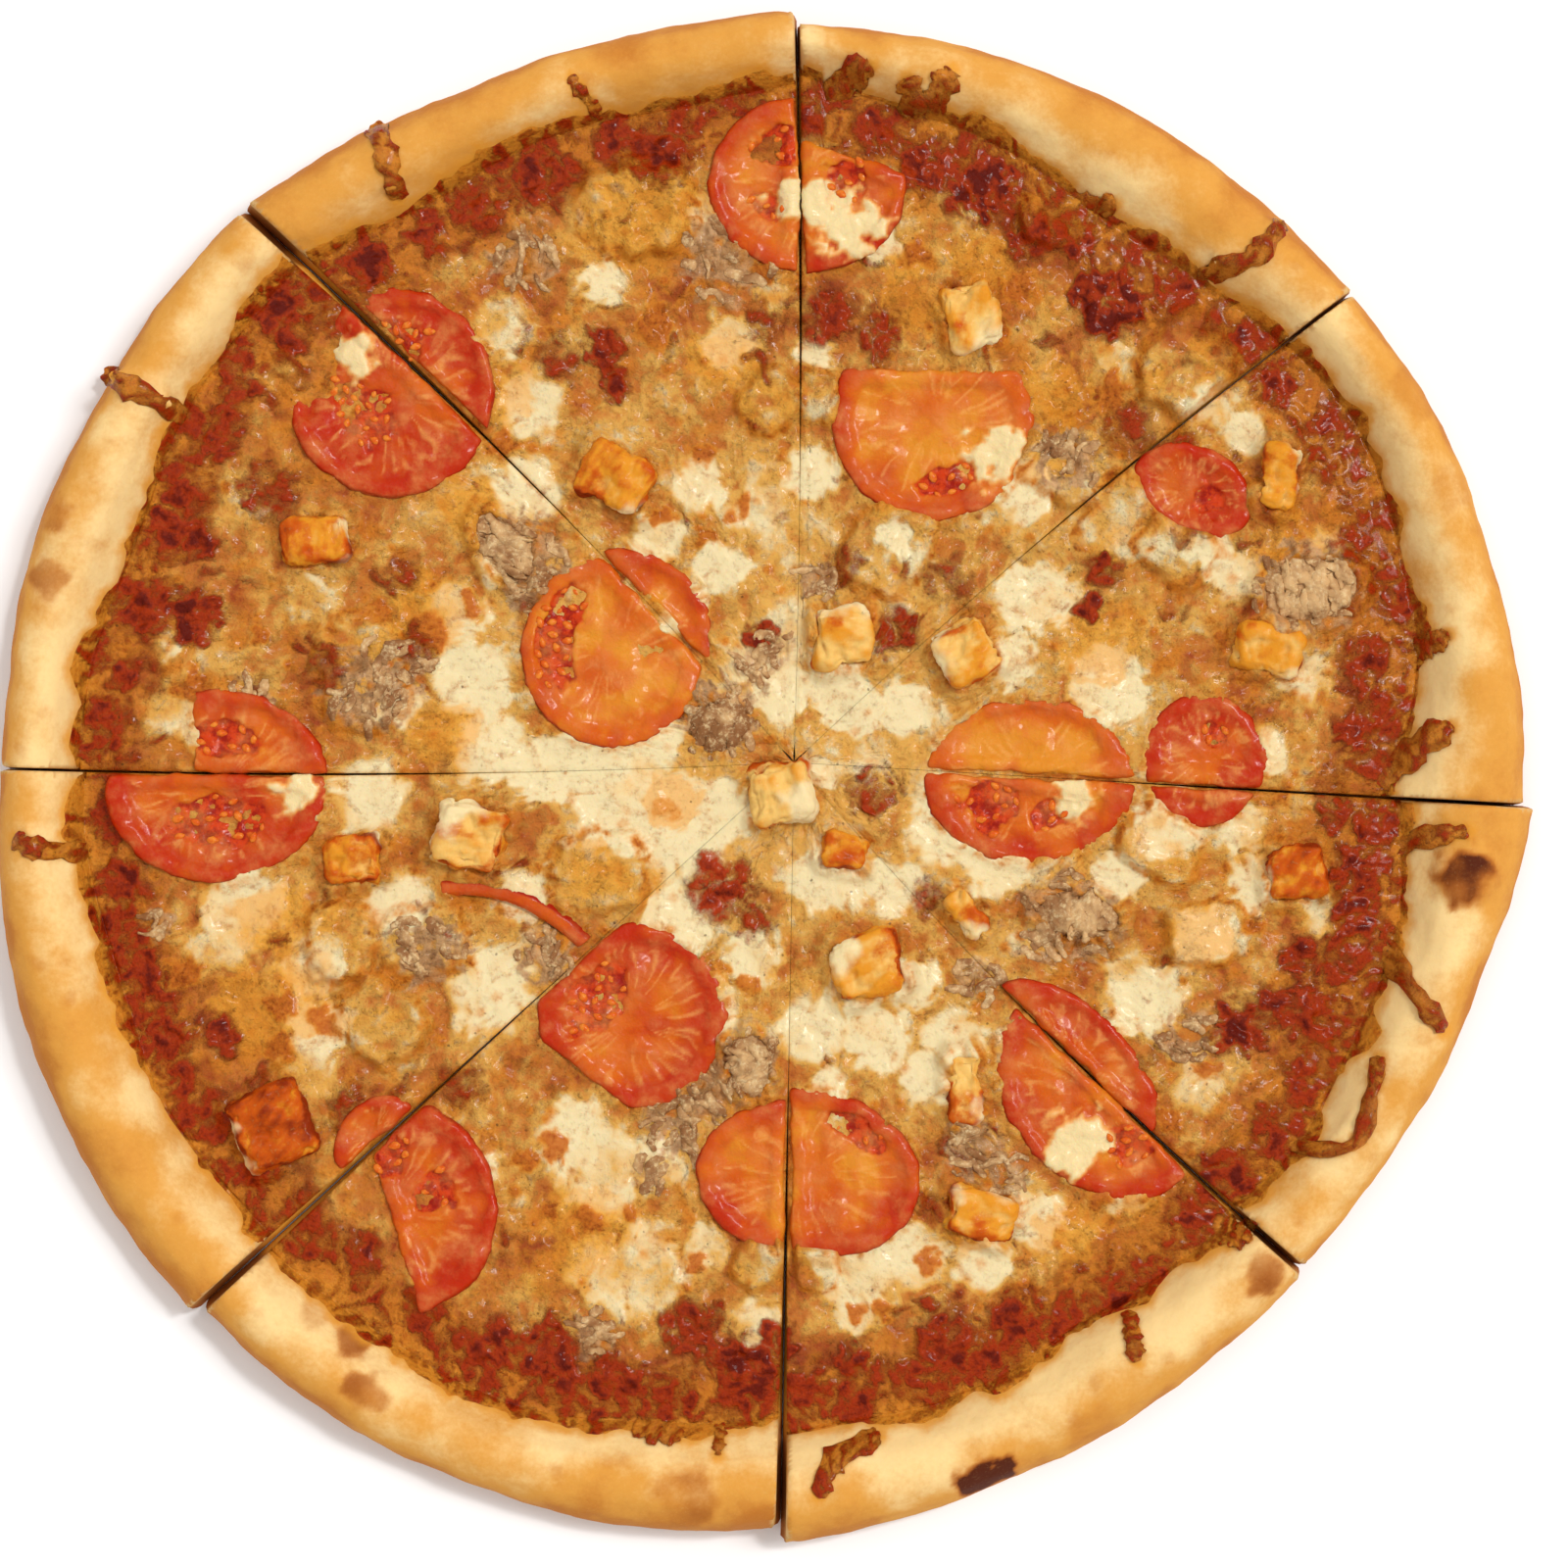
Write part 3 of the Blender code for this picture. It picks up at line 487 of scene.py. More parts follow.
class Paint:
    """Short ways to build a material's nodes."""

    glow_scale = 0.01

    def __init__(self, name: str) -> None:
        """Start a material with a Principled shader."""
        self.material = bpy.data.materials.new(name)
        self.material.use_nodes = True
        self.tree = self.material.node_tree
        self.shader = self.tree.nodes["Principled BSDF"]
        self.place = self.tree.nodes.new("ShaderNodeTexCoord").outputs["Object"]

    def _feed(self, socket: bpy.types.NodeSocket, value: object) -> None:
        """Link a socket or set it."""
        if isinstance(value, bpy.types.NodeSocket):
            self.tree.links.new(value, socket)
        elif isinstance(value, tuple):
            socket.default_value = (*value, 1.0)
        else:
            socket.default_value = value

    def field(self, name: str) -> bpy.types.NodeSocket:
        """A field of numbers stored on the mesh."""
        node = self.tree.nodes.new("ShaderNodeAttribute")
        node.attribute_name = name
        return node.outputs["Fac"]

    def noise(self, size: float, detail: float = 3.0, rough: float = 0.55) -> bpy.types.NodeSocket:
        """Noise from 0 to 1 with features of a size in mm."""
        node = self.tree.nodes.new("ShaderNodeTexNoise")
        self._feed(node.inputs["Vector"], self.place)
        node.inputs["Scale"].default_value = 1.0 / (size * MM)
        node.inputs["Detail"].default_value = detail
        node.inputs["Roughness"].default_value = rough
        return node.outputs["Fac"]

    def pores(self, size: float) -> bpy.types.NodeSocket:
        """Distance to the nearest of a scatter with a spacing in mm."""
        node = self.tree.nodes.new("ShaderNodeTexVoronoi")
        self._feed(node.inputs["Vector"], self.place)
        node.inputs["Scale"].default_value = 1.0 / (size * MM)
        return node.outputs["Distance"]

    def sum(self, first: object, second: object, operation: str = "ADD") -> bpy.types.NodeSocket:
        """Join two numbers by an operation."""
        node = self.tree.nodes.new("ShaderNodeMath")
        node.operation = operation
        self._feed(node.inputs[0], first)
        self._feed(node.inputs[1], second)
        return node.outputs[0]

    def scaled(self, value: object, factor: float, shift: float = 0.0) -> bpy.types.NodeSocket:
        """A number times a factor plus a shift."""
        node = self.tree.nodes.new("ShaderNodeMath")
        node.operation = "MULTIPLY_ADD"
        self._feed(node.inputs[0], value)
        node.inputs[1].default_value = factor
        node.inputs[2].default_value = shift
        return node.outputs[0]

    def step(self, value: object, low: float, high: float) -> bpy.types.NodeSocket:
        """Ease a number from 0 at one bound to 1 at the other."""
        node = self.tree.nodes.new("ShaderNodeMapRange")
        node.interpolation_type = "SMOOTHSTEP"
        self._feed(node.inputs["Value"], value)
        flip = low > high
        node.inputs["From Min"].default_value = high if flip else low
        node.inputs["From Max"].default_value = low if flip else high
        node.inputs["To Min"].default_value = 1.0 if flip else 0.0
        node.inputs["To Max"].default_value = 0.0 if flip else 1.0
        return node.outputs["Result"]

    def mix(self, factor: object, first: object, second: object) -> bpy.types.NodeSocket:
        """Blend from the first colour to the second."""
        node = self.tree.nodes.new("ShaderNodeMix")
        node.data_type = "RGBA"
        self._feed(node.inputs[0], factor)
        self._feed(node.inputs[6], first)
        self._feed(node.inputs[7], second)
        return node.outputs[2]

    def finish(self, colour: object, roughness: object, relief: tuple[tuple[object, float], ...],
               glow: float = 0.0, depth: Colour = (0.004, 0.0015, 0.0006), coat: float = 0.0,
               film: float = 0.12, shine: float = 0.05) -> bpy.types.Material:
        """Wire up the shader.

        Args:
            colour: The base colour.
            roughness: How matt the surface is.
            relief: Pairs of a height from 0 to 1 and its size in mm, for the bump.
            glow: How much light passes under the surface.
            depth: How far it passes, in metres for each colour.
            coat: Weight of a clear wet film.
            film: How matt that film is.
            shine: Level of the mirror reflection.

        Returns:
            The material.
        """
        self._feed(self.shader.inputs["Base Color"], colour)
        self._feed(self.shader.inputs["Roughness"], roughness)
        self.shader.inputs["Metallic"].default_value = 0.0
        self.shader.inputs["Specular IOR Level"].default_value = shine
        if glow:
            self.shader.inputs["Subsurface Weight"].default_value = glow
            self.shader.inputs["Subsurface Radius"].default_value = tuple(v / self.glow_scale for v in depth)
            self.shader.inputs["Subsurface Scale"].default_value = self.glow_scale
        if coat:
            self.shader.inputs["Coat Weight"].default_value = coat
            self.shader.inputs["Coat Roughness"].default_value = film
        normal = None
        for height, size in relief:
            node = self.tree.nodes.new("ShaderNodeBump")
            node.inputs["Strength"].default_value = 1.0
            node.inputs["Distance"].default_value = size * MM
            self._feed(node.inputs["Height"], height)
            if normal:
                self._feed(node.inputs["Normal"], normal)
            normal = node.outputs["Normal"]
        if normal:
            self._feed(self.shader.inputs["Normal"], normal)
        return self.material


@dataclass(frozen=True)
class CrustFinish:
    """Baked dough: pale and floury, golden where it browned, with painted shade low on the cut faces and on
    the rim's outer flank.
    """

    pale: Colour = srgb(240, 206, 142)
    golden: Colour = srgb(216, 152, 66)
    tan: Colour = srgb(190, 116, 42)
    brown: Colour = srgb(150, 78, 26)
    char: Colour = srgb(84, 34, 14)
    oil: Colour = srgb(220, 148, 48)
    crumb: Colour = srgb(214, 172, 110)

    def material(self) -> bpy.types.Material:
        """Build the material."""
        p = Paint("crust_baked")
        cloudy = p.noise(16.0, 5.0, 0.62)
        fine = p.noise(1.3, 5.0, 0.65)
        dust = p.noise(0.55, 3.0, 0.6)
        bake = p.sum(p.field("bake"), p.scaled(cloudy, 1.3, -0.65))
        bake = p.sum(bake, p.scaled(fine, 0.35, -0.175))
        colour = p.mix(p.step(bake, 0.0, 0.8), self.pale, self.golden)
        colour = p.mix(p.step(bake, 0.75, 1.5), colour, self.tan)
        # The brown field also holds painted shade low on the cut faces.
        brown = p.sum(p.field("brown"), p.scaled(fine, 0.3, -0.15))
        colour = p.mix(p.scaled(p.step(brown, -0.1, 0.7), 0.75), colour, self.tan)
        colour = p.mix(p.scaled(p.step(brown, 0.35, 1.15), 0.9), colour, self.brown)
        colour = p.mix(p.step(brown, 0.95, 1.45), colour, self.char)
        oil = p.sum(p.field("oil"), p.scaled(fine, 0.4, -0.2))
        colour = p.mix(p.scaled(p.step(oil, 0.0, 0.9), 0.9), colour, self.oil)
        colour = p.mix(p.scaled(p.step(dust, 0.55, 0.8), 0.10), colour, self.pale)
        crumb = p.field("crumb")
        holes = p.step(p.pores(2.2), 0.12, 0.4)
        inside = p.mix(holes, self.golden, self.crumb)
        colour = p.mix(crumb, colour, inside)
        roughness = p.sum(0.7, p.scaled(oil, 0.28), "SUBTRACT")
        relief = ((fine, 0.10), (dust, 0.05), (p.noise(4.5, 3.0, 0.5), 0.25))
        return p.finish(colour, roughness, relief, glow=0.1, depth=(0.003, 0.0012, 0.0004), shine=0.08)


@dataclass(frozen=True)
class CheeseFinish:
    """Melted cheese over sauce, with toasted blisters and wet patches, and painted shade in its toast colour
    around the toppings and along the cuts.
    """

    cream: Colour = srgb(228, 208, 160)
    melted: Colour = srgb(216, 161, 76)
    thin: Colour = srgb(191, 111, 44)
    bare: Colour = srgb(156, 68, 28)
    toasted: Colour = srgb(209, 128, 36)
    brown: Colour = srgb(168, 72, 16)
    sauce: Colour = srgb(164, 50, 8)
    burnt: Colour = srgb(100, 20, 4)
    meat: Colour = srgb(200, 154, 108)
    gristle: Colour = srgb(140, 96, 60)
    fat: Colour = srgb(226, 154, 46)
    herb: Colour = srgb(70, 48, 20)

    def material(self) -> bpy.types.Material:
        """Build the material."""
        p = Paint("cheese_melted")
        mid = p.noise(2.9, 5.0, 0.62)
        fine = p.noise(1.0, 5.0, 0.65)
        grain = p.noise(0.45, 3.0, 0.6)
        busy = p.scaled(p.field("soft"), -0.78, 1.0)
        thick = p.sum(p.field("thick"), p.sum(busy, p.scaled(mid, 1.3, -0.65), "MULTIPLY"))
        thick = p.sum(thick, p.sum(busy, p.scaled(fine, 0.75, -0.375), "MULTIPLY"))
        colour = p.mix(p.step(thick, -0.75, -0.15), self.bare, self.thin)
        colour = p.mix(p.step(thick, -0.2, 0.45), colour, self.melted)
        colour = p.mix(p.step(thick, 0.45, 1.10), colour, self.cream)
        fat = p.sum(p.field("fat"), p.scaled(mid, 0.8, -0.4))
        colour = p.mix(p.scaled(p.step(fat, 0.2, 0.9), 0.6), colour, self.fat)
        grey = p.sum(p.field("grey"), p.scaled(fine, 0.8, -0.4))
        strands = p.mix(p.step(p.noise(3.6, 4.0, 0.6), 0.30, 0.66), self.gristle, self.meat)
        colour = p.mix(p.scaled(p.step(grey, 0.25, 0.95), 0.9), colour, strands)
        toast = p.sum(p.field("toast"), p.scaled(fine, 0.6, -0.3))
        colour = p.mix(p.scaled(p.step(toast, 0.0, 0.85), 0.92), colour, self.toasted)
        colour = p.mix(p.step(toast, 0.55, 1.35), colour, self.brown)
        sauce = p.sum(p.field("sauce"), p.scaled(fine, 0.7, -0.35))
        sauce = p.sum(sauce, p.scaled(mid, 0.6, -0.3))
        colour = p.mix(p.step(sauce, 0.05, 0.75), colour, self.sauce)
        colour = p.mix(p.step(sauce, 0.65, 1.30), colour, self.burnt)
        fleck = p.step(p.sum(p.pores(5.5), p.scaled(grain, 0.1)), 0.12, 0.09)
        colour = p.mix(p.scaled(fleck, 0.6), colour, self.herb)
        roughness = p.sum(p.scaled(grain, 0.30, 0.26), p.scaled(p.step(sauce, 0.1, 0.8), 0.12), "SUBTRACT")
        wet = p.step(sauce, 0.0, 0.7)
        curds = p.sum(p.noise(2.3, 2.0, 0.5), wet, "MULTIPLY")
        relief = ((p.sum(mid, busy, "MULTIPLY"), 1.1), (p.sum(fine, busy, "MULTIPLY"), 0.5), (grain, 0.10),
                  (curds, 1.0))
        return p.finish(colour, roughness, relief, glow=0.15, depth=(0.003, 0.0012, 0.0004), coat=0.14,
                        film=0.14)


@dataclass(frozen=True)
class TomatoFinish:
    """Baked tomato: glossy skin, translucent flesh and red gel."""

    pale: Colour = srgb(213, 133, 34)
    flesh: Colour = srgb(202, 92, 16)
    deep: Colour = srgb(180, 40, 6)
    skin: Colour = srgb(160, 26, 8)
    gel: Colour = srgb(200, 60, 14)
    pulp: Colour = srgb(150, 24, 8)
    vein: Colour = srgb(232, 168, 90)
    cheese: Colour = srgb(229, 204, 150)

    def material(self) -> bpy.types.Material:
        """Build the material."""
        p = Paint("tomato_baked")
        mid = p.noise(6.5, 6.0, 0.62)
        fine = p.noise(0.9, 4.0, 0.6)
        tone = p.sum(p.field("tone"), p.scaled(mid, 2.2, -1.1))
        colour = p.mix(p.step(tone, -0.5, 0.3), self.pale, self.flesh)
        colour = p.mix(p.step(tone, 0.1, 1.1), colour, self.deep)
        vein = p.sum(p.field("vein"), p.scaled(fine, 0.5, -0.25))
        colour = p.mix(p.scaled(p.step(vein, 0.45, 1.1), 0.5), colour, self.vein)
        gel = p.sum(p.field("gel"), p.scaled(fine, 0.35, -0.175))
        jelly = p.mix(p.step(p.noise(2.6, 4.0, 0.65), 0.4, 0.62), self.gel, self.pulp)
        colour = p.mix(p.step(gel, 0.15, 0.8), colour, jelly)
        skin = p.sum(p.field("skin"), p.scaled(mid, 0.9, -0.45))
        colour = p.mix(p.step(skin, 0.25, 0.95), colour, self.skin)
        cheese = p.sum(p.field("cheese"), p.scaled(mid, 0.9, -0.45))
        colour = p.mix(p.scaled(p.step(cheese, -0.1, 0.5), 0.8), colour, self.vein)
        colour = p.mix(p.step(cheese, 0.35, 1.0), colour, self.cheese)
        roughness = p.scaled(fine, 0.16, 0.16)
        relief = ((mid, 0.9), (p.noise(2.2, 3.0, 0.6), 0.3), (fine, 0.12))
        return p.finish(colour, roughness, relief, glow=0.2, depth=(0.004, 0.001, 0.0003), coat=0.15,
                        film=0.15)


@dataclass(frozen=True)
class ChickenFinish:
    """Roast chicken: pale fibres, golden marinade and browned edges."""

    pale: Colour = srgb(230, 186, 104)
    golden: Colour = srgb(218, 142, 36)
    orange: Colour = srgb(190, 80, 12)
    brown: Colour = srgb(134, 42, 8)
    cheese: Colour = srgb(231, 208, 156)

    def material(self) -> bpy.types.Material:
        """Build the material."""
        p = Paint("chicken_roast")
        mid = p.noise(4.5, 5.0, 0.6)
        fine = p.noise(1.0, 4.0, 0.65)
        spice = p.sum(p.field("spice"), p.scaled(mid, 1.0, -0.5))
        colour = p.mix(p.step(spice, 0.0, 0.75), self.pale, self.golden)
        sear = p.sum(p.field("sear"), p.scaled(mid, 0.8, -0.4))
        sear = p.sum(sear, p.scaled(fine, 0.5, -0.25))
        colour = p.mix(p.step(sear, 0.2, 0.75), colour, self.orange)
        colour = p.mix(p.step(sear, 0.7, 1.25), colour, self.brown)
        colour = p.mix(p.scaled(p.step(fine, 0.55, 0.75), 0.2), colour, self.pale)
        cover = p.sum(p.field("cover"), p.scaled(mid, 0.7, -0.35))
        colour = p.mix(p.step(cover, 0.3, 0.8), colour, self.cheese)
        roughness = p.scaled(fine, 0.3, 0.28)
        relief = ((mid, 0.3), (fine, 0.2), (p.noise(0.4, 2.0, 0.5), 0.05))
        return p.finish(colour, roughness, relief, glow=0.15, depth=(0.003, 0.0012, 0.0004), coat=0.05)


@dataclass(frozen=True)
class MeatFinish:
    """Shredded cooked meat, grey brown with pale fat."""

    light: Colour = srgb(208, 164, 112)
    dark: Colour = srgb(142, 94, 56)
    fat: Colour = srgb(229, 200, 150)

    def material(self) -> bpy.types.Material:
        """Build the material."""
        p = Paint("meat_shredded")
        mid = p.noise(3.0, 4.0, 0.6)
        fine = p.noise(0.8, 4.0, 0.65)
        shade = p.sum(p.field("shade"), p.scaled(mid, 1.4, -0.7))
        colour = p.mix(p.step(shade, 0.0, 1.0), self.dark, self.light)
        pale = p.step(p.sum(fine, p.scaled(mid, 0.6, -0.3)), 0.48, 0.72)
        colour = p.mix(p.scaled(pale, 0.65), colour, self.fat)
        roughness = p.scaled(fine, 0.3, 0.34)
        relief = ((mid, 0.3), (fine, 0.2))
        return p.finish(colour, roughness, relief, glow=0.1, depth=(0.002, 0.001, 0.0004), coat=0.03)


@dataclass(frozen=True)
class SeedFinish:
    """Tomato seeds in their clear jelly."""

    core: Colour = srgb(222, 130, 44)
    edge: Colour = srgb(206, 84, 20)

    def material(self) -> bpy.types.Material:
        """Build the material."""
        p = Paint("tomato_seed")
        fine = p.noise(1.6, 3.0, 0.6)
        colour = p.mix(p.step(fine, 0.35, 0.7), self.edge, self.core)
        return p.finish(colour, 0.2, ((fine, 0.1),), glow=0.2, depth=(0.002, 0.001, 0.0003), coat=0.12)


@dataclass(frozen=True)
class FloorFinish:
    """The plain white floor."""

    white: Colour = (0.96, 0.96, 0.96)

    def material(self) -> bpy.types.Material:
        """Build the material."""
        return Paint("floor_white").finish(self.white, 0.9, ())


# Where things lie, in mm from the hub


def patch_rows(*rows: tuple[float, ...]) -> tuple[Patch, ...]:
    """Patches from rows of x, y, radius and, where it isn't 1, strength."""
    return tuple(Patch(*row) for row in rows)


MOUNDS = patch_rows(
    (-35.8, 126, 15, 4.5), (-5.5, 82, 9, 4), (5.5, 83.5, 7, 3), (87.3, 48.8, 11, 3.5), (60.5, 125, 10, 4),
    (89.6, 91.3, 14, 4.5), (-103, -40.7, 11, 4), (-94, -58.7, 12, 4), (-44.8, -25.1, 13, 3.5),
    (-7.8, -113.5, 8, 3.5), (5, -115, 7, 3), (84, -19, 11, 3.5), (94, -38.5, 11, 3), (21.3, 48.8, 13, 3),
    (-98.5, 20, 15, 3), (62, 69, 13, 3.5), (-85, -40.7, 12, 3), (75, 55, 12, 2.5),
)
BLISTERS = patch_rows(
    (71.6, 104.8, 9, 1.5), (42.5, 131.5, 9, 1.5), (53.5, 119.8, 7, 1.1), (86, 108.6, 6, 1.1), (93, 111, 4),
    (103.5, 95.8, 5, 1.1), (64, 119, 5), (80, 118, 6), (110.6, 86.2, 5, 1.2), (121, 77.5, 5),
    (120.2, 67, 4), (29.5, 135.8, 7, 1.1), (18.3, 144.6, 6, 1.1), (9.5, 152.6, 5, 1.2), (3, 147, 5),
    (-57, 134, 9, 1.1), (-41, 142, 6, 1.2), (-31, 138, 8, 1.1), (-24, 147, 5), (-74, 127, 6), (-68, 137, 5),
    (-118.7, 104.8, 7.5, 1.3), (-97.5, 113.5, 7, 1.3), (-84, 120, 5), (-115, 97, 5), (-127, 91, 5),
    (-130, 76, 6), (-141, 64, 6, 1.1), (-143, 53, 6, 1.2), (-136.6, 50.6, 5.5, 1.2), (-147.8, 35.4, 8, 1.2),
    (-136.6, 33, 7, 1.4), (-152.6, 19.4, 4.5, 1.2), (-158.2, 11.4, 4.5), (-159.8, 3.4, 4.5),
    (-154.2, -11.8, 6.5, 1.2), (-153.4, -27, 5.5, 1.2), (-155, -38.2, 5.5, 1.1), (-151, -46.2, 7, 1.2),
    (-147, -54.2, 6.5, 1.2), (-143, -62, 5.5, 1.2), (-139, -72, 5.5, 1.1), (-133, -82, 5),
    (-124, -92, 6, 1.1), (-112, -103, 6), (-98, -112, 5), (-84, -122, 5), (-69.4, -133, 7, 1.2),
    (-57, -134, 9, 1.3), (-41, -141, 7, 1.2), (-31.3, -145, 6, 1.1), (-23.3, -129, 8, 1.1),
    (-10.5, -138.7, 9, 1.4), (-4, -132, 5, 1.1), (3, -142.7, 6), (13.5, -145, 6, 1.2),
    (13.5, -136.5, 5.5, 1.2), (27.9, -140.3, 6), (34, -130.7, 8, 1.1), (36, -138, 6), (45.5, -137, 6, 1.1),
    (50.3, -127.5, 7.5, 1.2), (62, -127, 6, 1.1), (76.1, -126, 8, 1.3), (82, -117, 6), (91, -104, 6, 1.1),
    (98.5, -94.5, 8, 1.3), (109, -86, 6), (117, -73, 6), (110.7, -55.8, 7, 1.1), (118, -57.4, 7, 1.1),
    (101, -60.6, 6.5, 1.4), (123.5, -45.4, 6.5), (115.5, -44.6, 5.5, 1.1), (129, -35, 6.5, 1.2),
    (128.3, -24.6, 7, 1.2), (132.3, -14.2, 6, 1.1), (123.5, -11, 4.5), (128.3, 6.6, 6), (134.7, 9.8, 5),
    (129, 24, 6), (131.5, 16.2, 5), (138.7, 37, 5), (127.5, 50.6, 5, 0.9), (133.9, 56.2, 5, 0.8),
    (-16.1, -28.6, 8.5, 0.95), (-9, -36.6, 5, 0.6), (18.3, -6.2, 7, 0.75), (23.1, 29.8, 5.5, 0.9),
    (11.9, 45, 5, 0.7), (35.1, 41.8, 6, 0.55), (-60, 33.8, 5, 0.6), (-107, 21.8, 5, 0.7),
    (-88.6, 42.6, 4.5, 0.7), (-86.2, 26.6, 5, 0.65), (7.1, 101.4, 7.5, 0.95), (19, 98, 6.5, 0.9),
    (-43.3, 94.2, 5, 1.3), (-41, 86.2, 4.5, 1.3), (-53.7, 92.6, 6, 0.65), (-6, 100, 5, 0.6),
    (69.9, 43.4, 5, 1.1), (67.5, 35.4, 3.5, 1.4), (-130.2, -62.2, 5.5, 1.1), (-100, 100, 7, 0.8),
    (29.5, -30.2, 4.5, 0.6), (87, 70, 6, 0.7), (76, 76, 7, 0.6), (-120, 62, 8, 0.75), (-100, -80, 7, 0.7),
    (-76, -74, 6, 0.6), (-116, -12, 6, 0.4), (-7.4, 28.2, 4, 1.2), (43, 132.6, 5, 1.3), (-126, 86, 5, 0.9),
)
TOASTED = patch_rows(
    (-32, 99.8, 5.5), (-21, 70.2, 3.6), (-6.5, 111.8, 3.2), (27.9, 115.8, 4.4), (52.3, 108.6, 5.4),
    (46.3, 97.4, 3.2), (-136.6, 17, 4.8), (-138.2, -48.6, 5.2), (-116.6, -55, 4), (-107.8, -59, 4.2),
    (-117.4, -65.4, 4), (-46.5, -105, 4.8), (-54.5, -87.5, 3.8), (-61, -90.7, 3.2), (-56, -102.7, 2.6),
    (-37, -102.7, 2.6), (-22.5, -114.7, 3), (14.3, -125, 2.8), (20.7, -125, 2.8), (-29, -10.5, 3.2, 0.6),
    (-17.7, -47, 2.8, 0.8), (-9.9, -51, 3, 0.9), (98, 28, 3), (84, 22, 3, 0.8), (88, 40, 3), (72, 84, 5),
    (104, -37, 4), (94, -70, 3.5), (86, -82, 3.5), (70, -100, 4), (52.7, -120.3, 3.6), (-95, 35, 4),
    (-83, 30, 4.5), (-74, 36, 3.5), (-102, 48, 3.5), (-122, 29, 3), (-66, 72, 4), (-20, 52, 3.5),
    (-30, 56, 3), (-12, 58, 3), (-70, -86, 3.5, 0.8), (30, -114, 3),
)
YELLOW = patch_rows(
    (-35.3, 123, 13), (27, 106, 10), (43, 114, 8), (-80.6, 6.6, 9), (-45, -25.3, 8), (70, 28, 12),
    (93, -40, 9), (60, 84, 10), (-120, -56, 14), (-84, 34, 11), (40, -104, 9), (62, -108, 9), (-16, 92, 9),
    (-66, 84, 8), (-118, -36, 10), (-48, -106, 12), (110, 50, 8), (-28, -9, 7), (24, 62, 6), (-74, 58, 9),
)
CREAM = patch_rows(
    (-31.3, 50.6, 8), (-16.9, 44.2, 7), (-44.9, -0.6, 13), (-31.3, 5.8, 7), (-56.9, -2.2, 9),
    (-2.5, 16.2, 7, 1.4), (10.3, 16.2, 8, 1.2), (15.1, 11.4, 6), (25.5, 13, 7), (23.1, 50.6, 5),
    (49.5, 23.4, 7, 1.2), (6.3, -3, 4, 1.3), (-24.9, -14.2, 12), (-15.3, -11, 7), (-38.5, -11.8, 11),
    (-27.3, -36.6, 9), (-20.1, -54.2, 9), (-8.9, -44.6, 8), (7.1, -27, 8), (35.1, -14.2, 10),
    (23, -28.6, 7), (47, -23.8, 9), (3.9, -60.6, 9), (19, -62.2, 9), (27.1, -50.2, 7), (-60, 62, 9),
    (-15.3, 95.8, 8), (4.7, 93.4, 6), (4.7, 66.2, 7), (5.5, 139.8, 5.5), (21.5, 131, 5.5), (19.9, 118, 5),
    (-44, 110, 6, 1.3), (-21.7, 63.8, 8), (53.5, 62, 7), (-4, 106, 5, 0.8), (-17, 124.6, 8, 0.8),
    (-143.8, 25.8, 4.5), (-143, 13, 8), (-136.6, 8.8, 7), (-109.4, 37, 8), (-89.4, 13, 7),
    (-73.4, 17.8, 10), (-69.4, 3.4, 10), (-96.6, -7.8, 10), (-89.4, -31.8, 8), (-125.4, -33.4, 12),
    (-131.8, -43, 9), (-109, -46, 10), (-69.4, -52.6, 11), (-61.4, -30, 7), (-109, -60, 9), (-66, 47, 8),
    (-77.4, 33.8, 9), (-126, 108, 6, 0.9), (-121, 90, 6, 0.9), (-66, 100, 9), (-60, 82, 9), (53, 37.8, 9),
    (60.3, 37, 7), (71.5, 17.8, 10, 1.3), (101, 41.8, 8), (96.3, 47.4, 7, 1.1), (106.7, 2.6, 7, 1.1),
    (102.7, -15.8, 7, 1.1), (85.9, -13.4, 9), (105.9, -27, 8, 1.1), (81, -54.2, 10, 1.2), (76.3, -48.6, 7),
    (121, 49, 6), (116.3, 19.4, 8), (121, -35, 6), (93, -40.6, 9, 0.8), (73.9, -26.2, 6), (-44, -93, 13),
    (-49, -84, 10), (-34.5, -116.3, 13), (-44, -114.7, 10), (-20, -110.7, 6), (-8.9, -128.3, 7),
    (-30.5, -90.7, 7), (15, -116.3, 11), (27, -113, 10), (15, -124.3, 8), (53.5, -103.5, 9),
    (43, -114.7, 8), (7, -74.7, 6), (19.9, -63.5, 8), (75, 90, 7, 0.8), (96, 82, 7, 0.9), (103, 75, 6),
    (76, -98, 7), (92, -74, 7, 0.8), (-73, -92, 7, 0.8), (-110, -70, 7, 0.8), (36, -62, 8), (30, -72, 7),
    (112, 30, 6), (-25, 36, 7),
)
MEAT_STAINS = patch_rows(
    (-60.5, 48.2, 10), (-97.4, 16.4, 12), (-89.4, 21.2, 8), (-125.4, 14.6, 6), (-16.8, 10.7, 10),
    (-61, 38, 6), (-83, -42.2, 10), (-145, -37, 4), (-10.5, -68.3, 9), (-20, -74.7, 9), (-29.7, -78.7, 7),
    (-27, -86, 6), (116.4, 39.9, 14), (62, -35.8, 13), (89.9, -62.2, 8), (40.7, -88.3, 9), (47, -93, 6),
    (-15.7, 115, 12), (-61, 114, 9), (-45, -130.7, 7), (61.6, 69, 9), (4.7, 41.9, 5), (-56.2, -43.9, 8),
    (-33, -93.9, 5, 0.7), (41.5, -49.4, 6, 0.8), (-4, 27, 5, 0.6), (-8, 22, 6, 0.8),
)
